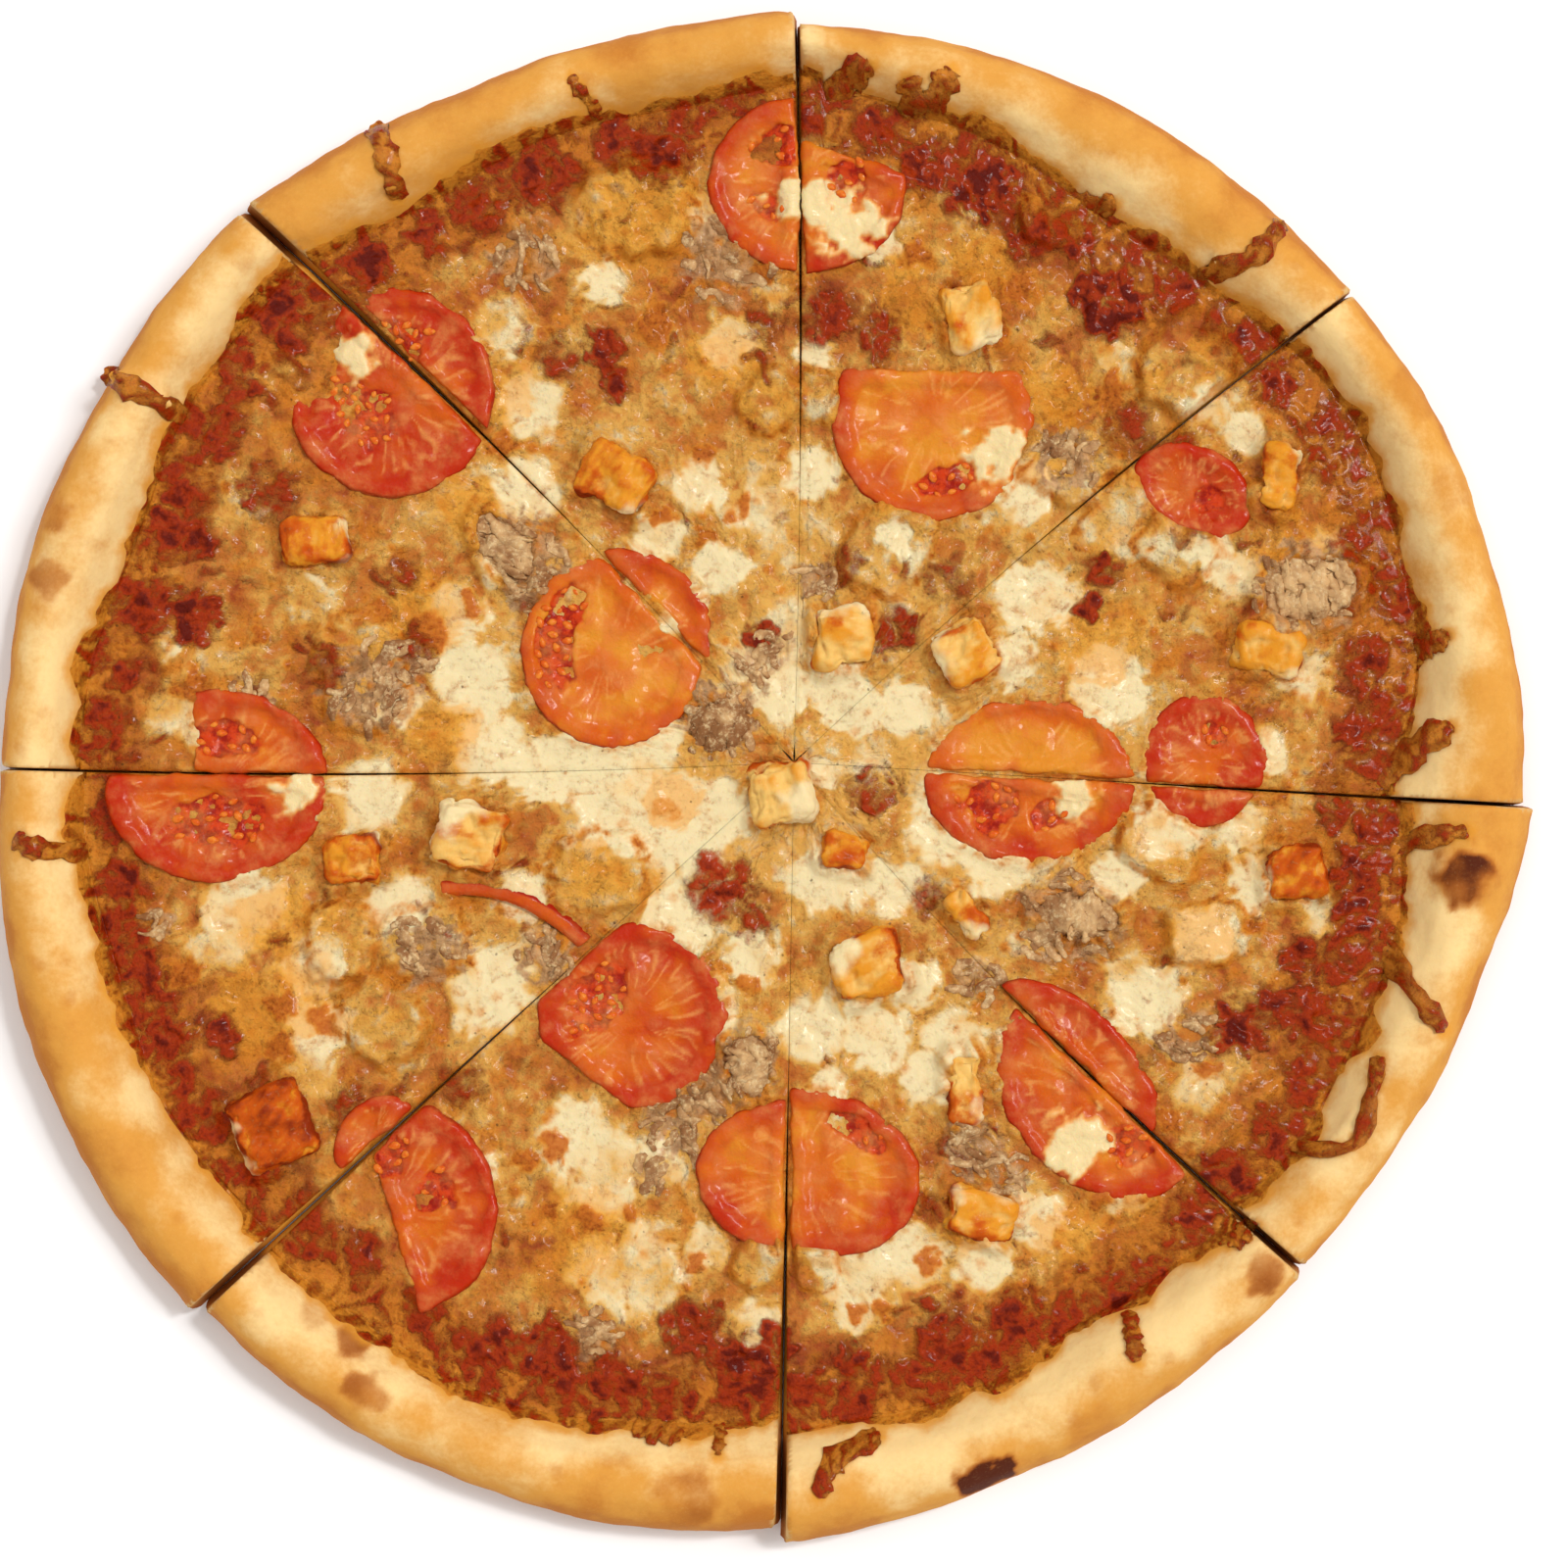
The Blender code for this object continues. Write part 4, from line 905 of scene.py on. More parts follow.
RIM_BROWN = patch_rows(
    (152.3, -25.1, 8, 1.3), (44.8, -165, 9, 1.6), (-98.5, -130.3, 6.5, 1.1), (-97.4, -142.6, 6, 0.9),
    (-167.9, 56.6, 5.5, 0.7), (-169, 42.1, 6, 0.8), (106.4, -115.8, 6, 0.9), (68.3, -151.6, 8, 0.6),
    (-24.6, -167.3, 9, 0.8), (142, 84, 8, 0.55), (150, 62, 7, 0.5), (-108, -124, 5, 0.6),
)
SLICE_BAKE = {1: 0.50, 2: 0.66, 3: 0.92, 4: 0.54, 5: 0.76, 6: 0.58, 7: 0.34, 8: 0.46}


def covered_chunks(plan: Points) -> tuple[Points, Points, Points]:
    """Chunks that lie under the cheese.

    Args:
        plan: Places in mm from the hub.

    Returns:
        How high they lift the cheese in mm, how much they cover, and where their edges show.
    """
    lift, cover, edge = np.zeros(len(plan)), np.zeros(len(plan)), np.zeros(len(plan))
    for number, mound in enumerate(MOUNDS):
        x, y = plan[:, 0] - mound.x, plan[:, 1] - mound.y
        near = np.hypot(x, y) < 1.7 * mound.radius
        turn = 0.8 * number
        along = (x[near] * math.cos(turn) + y[near] * math.sin(turn)) / (0.88 * mound.radius)
        across = (y[near] * math.cos(turn) - x[near] * math.sin(turn)) / (0.70 * mound.radius)
        away = (np.abs(along) ** 3.4 + np.abs(across) ** 3.4) ** (1 / 3.4)
        away += 0.16 * NOISE.cloud(plan[near] + 820.0, 5.0, 2)
        inside = ease(away, 1.15, 0.78)
        lift[near] = np.maximum(lift[near], mound.strength * inside * (0.85 + 0.25 * along))
        cover[near] = np.maximum(cover[near], inside)
        edge[near] = np.maximum(edge[near], ease(np.abs(away - 0.98), 0.24, 0.04))
    return lift, cover, edge


@dataclass(frozen=True)
class Stroke:
    """A knobbly strand along a bent path in plan, in mm from the hub."""

    path: tuple[tuple[float, float], ...]
    width: float
    height: float

    def point(self, place: float) -> Vector:
        """A place along the path, from 0 to 1, on a smooth curve."""
        if len(self.path) == 2:
            return Vector(self.path[0]).lerp(Vector(self.path[1]), place)
        spans = len(self.path) - 1
        index = min(int(place * spans), spans - 1)
        part = place * spans - index
        ends = [Vector(self.path[max(min(index + step, spans), 0)]) for step in (-1, 0, 1, 2)]
        before, start, stop, after = ends
        return 0.5 * (2 * start + (stop - before) * part
                      + (2 * before - 5 * start + 4 * stop - after) * part ** 2
                      + (3 * start - before - 3 * stop + after) * part ** 3)

    def add(self, bm: bmesh.types.BMesh, floor: Callable[[float, float], float], around: int = 14,
            steps: int = 26, taper: float = 0.5, lift: float = 0.25) -> None:
        """Add the strand to a bmesh, lying on a surface.

        Args:
            bm: The bmesh to add to.
            floor: Gives the height of the surface at x and y.
            around: Sides of the strand.
            steps: Rings along it.
            taper: How fast the ends narrow.
            lift: Part of the strand's height that its middle is raised by.
        """
        made = bmesh.ops.create_uvsphere(bm, u_segments=around, v_segments=steps, radius=1.0)["verts"]
        for vert in made:
            place = min(max(0.5 + 0.5 * vert.co.z, 0.0), 1.0)
            here = self.point(place)
            ahead = self.point(min(place + 0.02, 1.0)) - self.point(max(place - 0.02, 0.0))
            side = Vector((-ahead.y, ahead.x)).normalized()
            ring = math.hypot(vert.co.x, vert.co.y)
            full = math.sqrt(max(1.0 - vert.co.z ** 2, 1e-6))
            thick = max(full, 1e-6) ** (taper - 1.0) if ring > 1e-5 else 0.0
            wobble = 1.0 + 0.22 * math.sin(place * 17.0 + self.path[0][0]) + 0.12 * math.sin(place * 41.0)
            offset = vert.co.x * thick * wobble * 0.5 * self.width
            spot = here + side * offset
            height = floor(spot.x, spot.y) + lift * self.height
            height += vert.co.y * thick * wobble * 0.5 * self.height
            vert.co = Vector(((spot.x + HUB.x) * MM, (spot.y + HUB.y) * MM, height * MM))


RIM_STROKES = tuple(Stroke(*row) for row in (
    (((-96, 146.5), (-92.5, 138), (-90, 128)), 5.4, 2),
    (((-157.8, 89.8), (-150, 84.6), (-138, 78.5)), 5.2, 1.6),
    (((-50.4, 155.2), (-48.5, 152), (-44, 147.5)), 2.8, 1.2),
    (((8, 148), (11.6, 155), (17.5, 157.5)), 7, 2), (((24, 141), (27, 149), (25.5, 155)), 6.5, 2.2),
    (((27.5, 144.5), (33, 151.8), (36, 156.5)), 6.4, 1.4),
    (((92, 111), (104.1, 114.5), (111, 123)), 5.2, 2.4),
    (((133, -5), (141.1, 2.9), (148.9, 8.4)), 6.8, 3.4),
    (((128, -30.3), (139, -18.8), (152.3, -15.5)), 5, 2.6),
    (((132.2, -33), (137.7, -47.5), (147.2, -60.8)), 4.6, 3.4),
    (((112.2, -87.6), (126.7, -86.5), (130.7, -75.3), (132.6, -66.6)), 3.8, 3),
    (((141, 24.3), (148.2, 29.2)), 5.2, 2.4), (((5.6, -166), (9.1, -158.2), (19.5, -153)), 5, 1.6),
    (((76.1, -124.8), (77.5, -135.5)), 4, 2.4), (((98.6, -109.4), (105.1, -105)), 4, 2.2),
    (((-16.8, -150), (-17.2, -157)), 2.8, 1.6), (((-176.5, -17), (-171.5, -19.5), (-160, -20.5)), 5, 1.6),
    (((-36.7, -151.2), (-25.5, -153)), 5, 2.6), (((56, 131), (66, 127), (73, 127)), 5, 2.6),
))


def strand_distance(points: Points) -> Points:
    """Distance in mm from each point to the nearest strand on the rim, in plan."""
    marks = np.array([tuple(stroke.point(step / 8)) for stroke in RIM_STROKES for step in range(9)])
    away = np.full(len(points), FAR_OFF)
    for mark in marks:
        away = np.minimum(away, np.hypot(points[:, 0] - mark[0], points[:, 1] - mark[1]))
    return away


@dataclass
class ToppingEdge:
    """The uneven edge where sauce and cheese climb the rim's inner slope."""

    least: float = 0.7
    most: float = 9.0
    usual: float = 2.6

    def reach(self, points: Points) -> Points:
        """How far the topping climbs past the foot of the rim, in mm, at each place's direction."""
        radius = np.maximum(np.hypot(points[:, 0], points[:, 1]), 1.0)
        foot = points[:, :2] / radius[:, None] * 150.0
        foot = foot + 3.0 * np.column_stack((NOISE.cloud(foot, 9.0, 2), NOISE.cloud(foot + 50.0, 9.0, 2)))
        wide = NOISE.cloud(foot + 400.0, 23.0, 2)
        narrow = NOISE.cloud(foot + 900.0, 11.0, 3, 0.5)
        return np.clip(self.usual + 2.8 * wide + 1.9 * narrow, self.least, self.most)


EDGE = ToppingEdge()


@dataclass
class Crust:
    """The eight slices of dough."""

    voxel: float = 1.1
    crisp: float = 0.9
    widest_gap: float = 5.0
    gap_share: float = 0.44
    wedges: tuple[Wedge, ...] = ()
    finish: CrustFinish = CrustFinish()
    grounds: dict[int, Ground] = field(default_factory=dict)

    def build(self) -> None:
        """Make every slice."""
        material = self.finish.material()
        for wedge in self.wedges:
            name = f"dough_{wedge.number}"
            mesh = remeshed(merged_copy(name), f"crust_slice_{wedge.number}", self.voxel)
            points = read_points(mesh)
            side = wedge.side_distance(points)
            relax(mesh, 9, keep=side < self.crisp)
            self._puff(mesh, wedge)
            self._close(mesh, wedge)
            self._dress(mesh, wedge)
            self.grounds[wedge.number] = Ground(mesh)
            add_piece(mesh, mesh.name, material, Slot.CRUST, name)

    def _puff(self, mesh: bpy.types.Mesh, wedge: Wedge) -> None:
        """Give the dough the small swellings and dents of baking."""
        points = read_points(mesh)
        normals = read_normals(mesh)
        side = wedge.side_distance(points)
        swell = 0.55 * NOISE.cloud(points, 24.0, 2) + 0.22 * NOISE.cloud(points + 90.0, 7.0, 2)
        swell += 0.05 * NOISE.cloud(points + 40.0, 2.2, 1)
        swell += 1.1 * cover_all(RIM_BROWN[:1], points)
        resting = ease(points[:, 2], 0.4, 3.0)
        moved = points + normals * (swell * ease(side, 0.6, 4.0) * resting)[:, None]
        moved[:, 2] = np.maximum(moved[:, 2], 0.0)
        write_points(mesh, moved)

    def _close(self, mesh: bpy.types.Mesh, wedge: Wedge) -> None:
        """Let the base spread almost to the next slices, since the knife parts it the least there."""
        before = min(self.wedges, key=lambda other: (wedge.low.angle - other.high.angle) % FULL_TURN)
        after = min(self.wedges, key=lambda other: (other.low.angle - wedge.high.angle) % FULL_TURN)
        points = read_points(mesh)
        radius = np.maximum(np.hypot(points[:, 0], points[:, 1]), 1.0)
        place = wedge.place_of(points)
        width = (wedge.high.at(radius) - wedge.low.at(radius)) * radius
        gap_before = (wedge.low.at(radius) - before.high.at(radius)) % FULL_TURN * radius
        gap_after = (after.low.at(radius) - wedge.high.at(radius)) % FULL_TURN * radius
        spread = ease((1.0 - place) * width, 2.5, 0.3) * np.minimum(gap_after, self.widest_gap)
        spread -= ease(place * width, 2.5, 0.3) * np.minimum(gap_before, self.widest_gap)
        spread *= self.gap_share * ease(points[:, 2], 7.5, 4.0) * ease(points[:, 2], 0.2, 1.2)
        tangent = np.column_stack((-points[:, 1], points[:, 0])) / radius[:, None]
        points[:, :2] += tangent * spread[:, None]
        write_points(mesh, points)

    def _dress(self, mesh: bpy.types.Mesh, wedge: Wedge) -> None:
        """Paint the baking colour, brown spots, oil and crumb, with painted shade low on the cut faces and on
        the rim's outer flank.
        """
        points = read_points(mesh)
        normals = read_normals(mesh)
        radius = np.hypot(points[:, 0], points[:, 1])
        place = np.clip(wedge.place_of(points), 0.0, 1.0)
        inner = wedge.inner(place)
        past_foot = radius - inner
        side = wedge.side_distance(points)
        rough = 0.35 * NOISE.cloud(points[:, :2], 6.0, 3)
        bake = np.full(len(points), SLICE_BAKE[wedge.number])
        # The steep outer flank of the rim gets more colour: partly its own baking, partly painted shade where
        # the rim turns down away from the overhead light.
        flank = ease(normals[:, 2], 0.80, -0.15) * ease(past_foot, 8.0, 16.0)
        bake += flank * (0.78 + 0.55 * NOISE.cloud(points + 130.0, 15.0, 3))
        bake += 0.36 * ease(past_foot, 14.0, 22.0) - 0.38 * ease(past_foot, 14.0, 5.0)
        bake += 0.42 * NOISE.cloud(points[:, :2] + 55.0, 22.0, 3)
        brown = cover_all(RIM_BROWN, points, rough)
        brown = brown ** 1.5 * (0.85 + 0.4 * NOISE.cloud(points[:, :2] + 180.0, 9.0, 2))
        brown *= ease(points[:, 2] + 6.0 * rough, 6.0, 15.0)
        speck = NOISE.cloud(points[:, :2] + 300.0, 8.0, 2)
        brown = np.maximum(brown, 0.36 * ease(speck, 0.30, 1.1) * ease(past_foot, 2.0, 8.0))
        under = ease(normals[:, 2], -0.6, -0.95)
        brown = np.maximum(brown, under * (0.35 + 0.5 * NOISE.cloud(points[:, :2] + 500.0, 12.0, 3)))
        beyond = past_foot - EDGE.reach(points)
        beyond = np.minimum(beyond + 3.0 * rough, 1.2 * strand_distance(points) - 1.5 + 2.0 * rough)
        oil = 0.85 * ease(beyond, 2.6, -1.0) * ease(normals[:, 2], -0.2, 0.2)
        cut = (side < self.crisp) & (np.abs(normals[:, 2]) < 0.5) & (past_foot < 60.0)
        skin = ease(points[:, 2], 1.0, 2.2)
        # Crumb shows only on the upper part of the cut faces; the lower part gets brown as painted shade, so
        # the gaps between slices look dark.
        crumb = cut * skin * ease(points[:, 2], 5.0, 10.0)
        brown = np.maximum(brown, 1.1 * cut * ease(points[:, 2], 11.0, 5.0))
        paint(mesh, bake=bake, brown=brown, oil=oil, crumb=crumb)


@dataclass
class Topping:
    """Sauce and melted cheese, one piece for each slice."""

    rows: int = 250
    climb_rows: int = 26
    columns: int = 200
    bottom: float = 6.8
    top: float = 10.7
    lip: float = 8.6
    thin_from: float = 15.0
    tip: float = 0.3
    rim_film: float = 0.9
    closing: float = 0.22
    wedges: tuple[Wedge, ...] = ()
    prints: tuple[Footprint, ...] = ()
    grounds: dict[int, Ground] = field(default_factory=dict)
    surfaces: dict[int, Ground] = field(default_factory=dict)

    def build(self, material: bpy.types.Material) -> None:
        """Make every slice's topping."""
        for wedge in self.wedges:
            name = f"cheese_{wedge.number}"
            mesh = self._sheet(f"topping_slice_{wedge.number}")
            self._shape(mesh, wedge)
            self.surfaces[wedge.number] = Ground(mesh)
            add_piece(mesh, mesh.name, material, Slot.CHEESE, name)

    def _sheet(self, name: str) -> bpy.types.Mesh:
        """A closed slab with a fine square grid on top: x is along the slice, y across it."""
        bm = bmesh.new()
        bmesh.ops.create_grid(bm, x_segments=self.rows, y_segments=self.columns, size=0.5)
        bmesh.ops.translate(bm, vec=(0.5, 0.5, 1.0), verts=bm.verts)
        rim = [edge for edge in bm.edges if edge.is_boundary]
        grown = bmesh.ops.extrude_edge_only(bm, edges=rim)["geom"]
        lower = [item for item in grown if isinstance(item, bmesh.types.BMVert)]
        bmesh.ops.translate(bm, vec=(0.0, 0.0, -1.0), verts=lower)
        bmesh.ops.holes_fill(bm, edges=[edge for edge in bm.edges if edge.is_boundary], sides=0)
        bmesh.ops.recalc_face_normals(bm, faces=bm.faces)
        return as_mesh(bm, name)

    def _shape(self, mesh: bpy.types.Mesh, wedge: Wedge) -> None:
        """Bend the slab into the slice's plan and give it its relief and paint."""
        flat = np.empty(len(mesh.vertices) * 3)
        mesh.vertices.foreach_get("co", flat)
        grid = flat.reshape(-1, 3)
        upper = grid[:, 2] > 0.5
        along = grid[:, 0]
        place = grid[:, 1]
        inner = wedge.inner(place)
        body = 1.0 - self.climb_rows / self.rows
        radius = self.tip + (inner - self.tip) * np.minimum(along / body, 1.0)
        middle_angle = wedge.low.at(inner) + (wedge.high.at(inner) - wedge.low.at(inner)) * place
        foot = np.column_stack((np.cos(middle_angle), np.sin(middle_angle))) * inner[:, None]
        climb = np.clip((along - body) / (1.0 - body), 0.0, 1.0)
        radius = radius + np.where(upper, climb * EDGE.reach(foot), 0.0)
        low = wedge.low.at(radius)
        high = wedge.high.at(radius)
        shut = self.closing * ease(radius, 105.0, 60.0) * ease(radius, 1.0, 5.0) / radius
        low = low - shut
        high = high + shut
        angle = low + (high - low) * place
        flat_base = np.full(len(grid), self.bottom)
        points = np.column_stack((radius * np.cos(angle), radius * np.sin(angle), flat_base))
        side = np.minimum(place, 1.0 - place) * (high - low) * radius
        fields = self._fields(points, inner - radius, side)
        height = self._height(points, inner - radius, side, fields)
        on_rim = upper & (climb > 0.0)
        ground = self.grounds[wedge.number]
        slope = ground.heights(points[on_rim], self.lip)
        rise = climb[on_rim]
        film = self.rim_film * (1.0 - rise ** 2.0) * (0.8 + 0.5 * fields["bumps"][on_rim])
        film -= 0.35 * ease(rise, 0.8, 1.0)
        blend = ease(rise, 0.0, 0.18)
        height[on_rim] = height[on_rim] * (1.0 - blend) + (slope + film) * blend
        points[:, 2] = np.where(upper, height, self.bottom)
        write_points(mesh, points)
        del fields["bumps"], fields["blobs"], fields["lift"]
        edge_sauce = np.where(upper, 0.0, 0.9)
        fields["sauce"] = np.maximum(fields["sauce"], edge_sauce)
        paint(mesh, **fields)

    def _fields(self, points: Points, inside: Points, side: Points) -> dict[str, Points]:
        """Where the cheese is thick, toasted, saucy, oily or stained by meat, and where shade is painted
        around the toppings and along the cuts.

        Args:
            points: Places in mm from the hub.
            inside: Distance in mm to the foot of the rim, below 0 on the rim.
            side: Distance in mm to the nearer cut.

        Returns:
            The fields by name.
        """
        plan = points[:, :2]
        bend = np.column_stack((NOISE.cloud(plan + 10.0, 12.0, 2), NOISE.cloud(plan + 70.0, 12.0, 2)))
        warped = plan + 5.0 * bend
        shake = np.column_stack((NOISE.cloud(plan + 15.0, 5.0, 2), NOISE.cloud(plan + 75.0, 5.0, 2)))
        shaken = plan + 2.2 * shake
        fine = NOISE.cloud(warped + 20.0, 3.4, 3)
        radius = np.hypot(plan[:, 0], plan[:, 1])
        shreds = NOISE.ridges(plan + 2.0 * bend + 40.0, 6.0, 2)
        ring = ease(inside + 5.0 * NOISE.cloud(plan + 360.0, 16.0, 2), 19.0, 6.0)
        cream = cover_all(CREAM, shaken, 0.18 * fine)
        base = 0.28 + 0.50 * NOISE.cloud(warped, 21.0, 2) + 0.85 * cream
        base -= 0.30 * ease(radius, 60.0, 130.0) - 0.25 * ease(radius, 60.0, 20.0)
        base -= 0.7 * ring
        soft = ease(base + 0.3 * fine, 0.25, 0.95)
        rough = 1.0 - 0.7 * soft
        thick = base + rough * (0.55 * NOISE.cloud(shaken + 30.0, 8.0, 3) + 0.45 * (shreds - 0.5))
        toast = 0.60 * NOISE.cloud(plan + 2.0 * bend + 150.0, 6.0, 3)
        toast += 0.45 * NOISE.cloud(warped + 210.0, 17.0, 1)
        toast += 0.30 * ease(radius, 40.0, 125.0) - 0.15 - 0.55 * soft
        near, _ = NOISE.cells(plan + 0.8 * bend + 333.0, 5.6)
        pick = NOISE.cloud(plan + 610.0, 9.5, 1)
        spots = ease(near + 0.06 * fine, 0.42, 0.05) * ease(pick, -0.1, 0.5)
        toast = np.maximum(toast, (1.0 - 0.55 * soft) * spots)
        toast = np.maximum(toast, cover_all(TOASTED, shaken, 0.25 * fine))
        blotch = NOISE.cloud(warped + 260.0, 9.0, 3)
        grains, _ = NOISE.cells(shaken + 25.0, 3.4)
        clots, _ = NOISE.cells(shaken + 425.0, 6.2)
        curd = NOISE.cloud(plan + 640.0, 5.0, 3)
        blobs = np.maximum(0.8 * ease(grains + 0.2 * curd, 0.72, 0.10), ease(clots + 0.2 * curd, 0.56, 0.12))
        sauce = ring * (1.04 - 0.22 * ease(plan[:, 0], -60.0, 60.0)) * ease(blotch + 0.3 * fine, -0.45, 0.45)
        sauce = sauce * (0.20 + 0.78 * blobs) + 0.2 * fine * ring
        seeping = 0.55 * ease(blotch + 0.3 * fine, 0.50, 1.05) * ease(radius, 15.0, 50.0)
        sauce = np.maximum(sauce, seeping - 0.3 * soft)
        blister = cover_all(BLISTERS, shaken, 0.35 * fine + 0.2 * curd)
        sauce = np.maximum(sauce, blister * (0.34 + 0.68 * blobs + 0.6 * curd) + 0.15 * fine)
        toast = np.maximum(toast, 0.62 * ease(inside, 20.0, 7.0) + 0.4 * fine)
        fat = 0.50 * NOISE.cloud(warped + 480.0, 14.0, 2) + 0.1 + 0.9 * cover_all(YELLOW, shaken, 0.3 * fine)
        lift, slab, edge = covered_chunks(plan)
        thick += 0.30 * slab
        fat += 0.55 * slab * ease(NOISE.cloud(plan + 520.0, 7.0, 2), -0.4, 0.4)
        toast = np.maximum(toast - 0.3 * slab, edge * (0.50 + 0.7 * fine))
        fat += 0.9 * ease(inside, 5.0, -1.5)
        sauce -= 0.8 * ease(inside + 3.0 * fine, -1.0, -4.5)
        grey = cover_all(MEAT_STAINS, shaken, 0.45 * fine) * ease(shreds + 0.4 * fine, -0.1, 0.4)
        # A toast-coloured ring at the foot of each topping: partly grease that gathers there, partly painted
        # contact shade.
        for mark in self.prints:
            away = mark.distance(points)
            touch = ease(away, 2.6, 0.2) * ease(away, -6.0, -3.0)
            toast = np.maximum(toast, touch * (0.30 + 0.6 * fine))
        # Painted shade along the cuts: the cheese turns toast-coloured at the cut edges, more so towards the
        # rim.
        line = ease(side, 0.7, 0.1) * ease(radius, 30.0, 100.0)
        toast = np.maximum(toast, line * (0.45 + 0.3 * fine))
        bumps = 0.6 * NOISE.cloud(warped + 700.0, 1.9, 2) + 0.4 * NOISE.cloud(plan + 740.0, 4.2, 2)
        return {"thick": thick, "toast": toast, "sauce": sauce, "fat": fat, "grey": grey, "soft": soft,
                "bumps": bumps, "blobs": blobs, "lift": lift}

    def _height(self, points: Points, inside: Points, side: Points, fields: dict[str, Points]) -> Points:
        """Top of the cheese in mm, before the rim's slope.

        Args:
            points: Places in mm from the hub.
            inside: Distance in mm to the foot of the rim.
            side: Distance in mm to the nearer cut.
            fields: The fields of the same places.

        Returns:
            A height for each point.
        """
        plan = points[:, :2]
        x, y = plan[:, 0], plan[:, 1]
        lumps = 0.5 * np.sin(x / 6.1 + 1.0) * np.cos(y / 5.3) + 0.35 * np.sin((x + y) / 4.1)
        high = self.top + 0.6 * lumps + fields["lift"]
        rugged = 1.0 - 0.55 * fields["soft"]
        high += 0.9 * ease(fields["thick"], -0.4, 0.9) - 0.4 + 0.25 * NOISE.cloud(plan + 860.0, 9.0, 1)
        high += rugged * (0.75 * NOISE.cloud(plan + 865.0, 6.0, 3) + 0.38 * fields["bumps"])
        high += rugged * 0.25 * NOISE.ridges(plan + 910.0, 4.6, 2)
        high += 0.40 * ease(fields["toast"], 0.5, 1.1) - 0.30 * ease(fields["sauce"], 0.3, 0.9)
        high += 1.2 * fields["blobs"] * ease(fields["sauce"], 0.25, 0.8)
        high += 0.9 * fields["grey"] * (NOISE.ridges(plan * (1.0, 0.7) + 950.0, 3.4, 3) - 0.2)
        for mark in self.prints:
            away = mark.distance(points)
            swell = 0.75 + 0.6 * fields["bumps"] + (1.6 + 1.6 * mark.bank(plan) if mark.tall else 0.0)
            swell = swell * ease(side, 0.3, 3.2)
            high += ease(away, 3.4 if mark.tall else 2.4, 0.1) * ease(away, -2.5, -1.2) * swell
            under = ease(away, -1.2, -3.0)
            high = high * (1.0 - under) + np.minimum(high, mark.top - 2.6) * under
        rising = ease(inside, 0.0, self.thin_from)
        high = self.lip + (high - self.lip) * rising + 0.55 * (1.0 - rising) * (0.5 + fields["bumps"])
        return high - (0.12 + 0.4 * ease(np.hypot(x, y), 50.0, 110.0)) * ease(side, 0.9, 0.0)


@dataclass(frozen=True)
class Pocket:
    """A pocket of gel in a tomato slice, in its own round measure: 0 is its middle, 1 its skin."""

    angle: float
    spread: float
    near: float
    far: float

    def cover(self, ring: Points, turn: Points, rough: Points) -> Points:
        """How much the pocket covers places in the slice."""
        turned = (turn - math.radians(self.angle) + math.pi) % FULL_TURN - math.pi
        around = turned / math.radians(self.spread)
        middle = 0.5 * (self.near + self.far)
        across = (ring - middle) / (0.5 * (self.far - self.near))
        away = (np.abs(around) ** 2.6 + np.abs(across) ** 2.6) ** (1 / 2.6)
        return ease(away + rough, 1.12, 0.80)


@dataclass(frozen=True)
class TomatoSlice:
    """One tomato piece.

    Attributes:
        name: Its CAD node.
        centre: Middle of the slice it was cut from, in mm from the hub.
        radii: Half lengths of that slice along its own two directions, in mm.
        turn: Angle of those directions in degrees.
        tone: How red the flesh is, from pale at 0 to deep red at 1.
        pockets: Its pockets of gel.
        seeds: The most seeds that it gets.
        cheese: Where cheese ran over it.
        sunk: Where it dips under the cheese.
    """

    name: str
    centre: tuple[float, float]
    radii: tuple[float, float]
    turn: float = 0.0
    tone: float = 0.4
    pockets: tuple[Pocket, ...] = ()
    seeds: int = 10
    cheese: tuple[Patch, ...] = ()
    sunk: tuple[Patch, ...] = ()


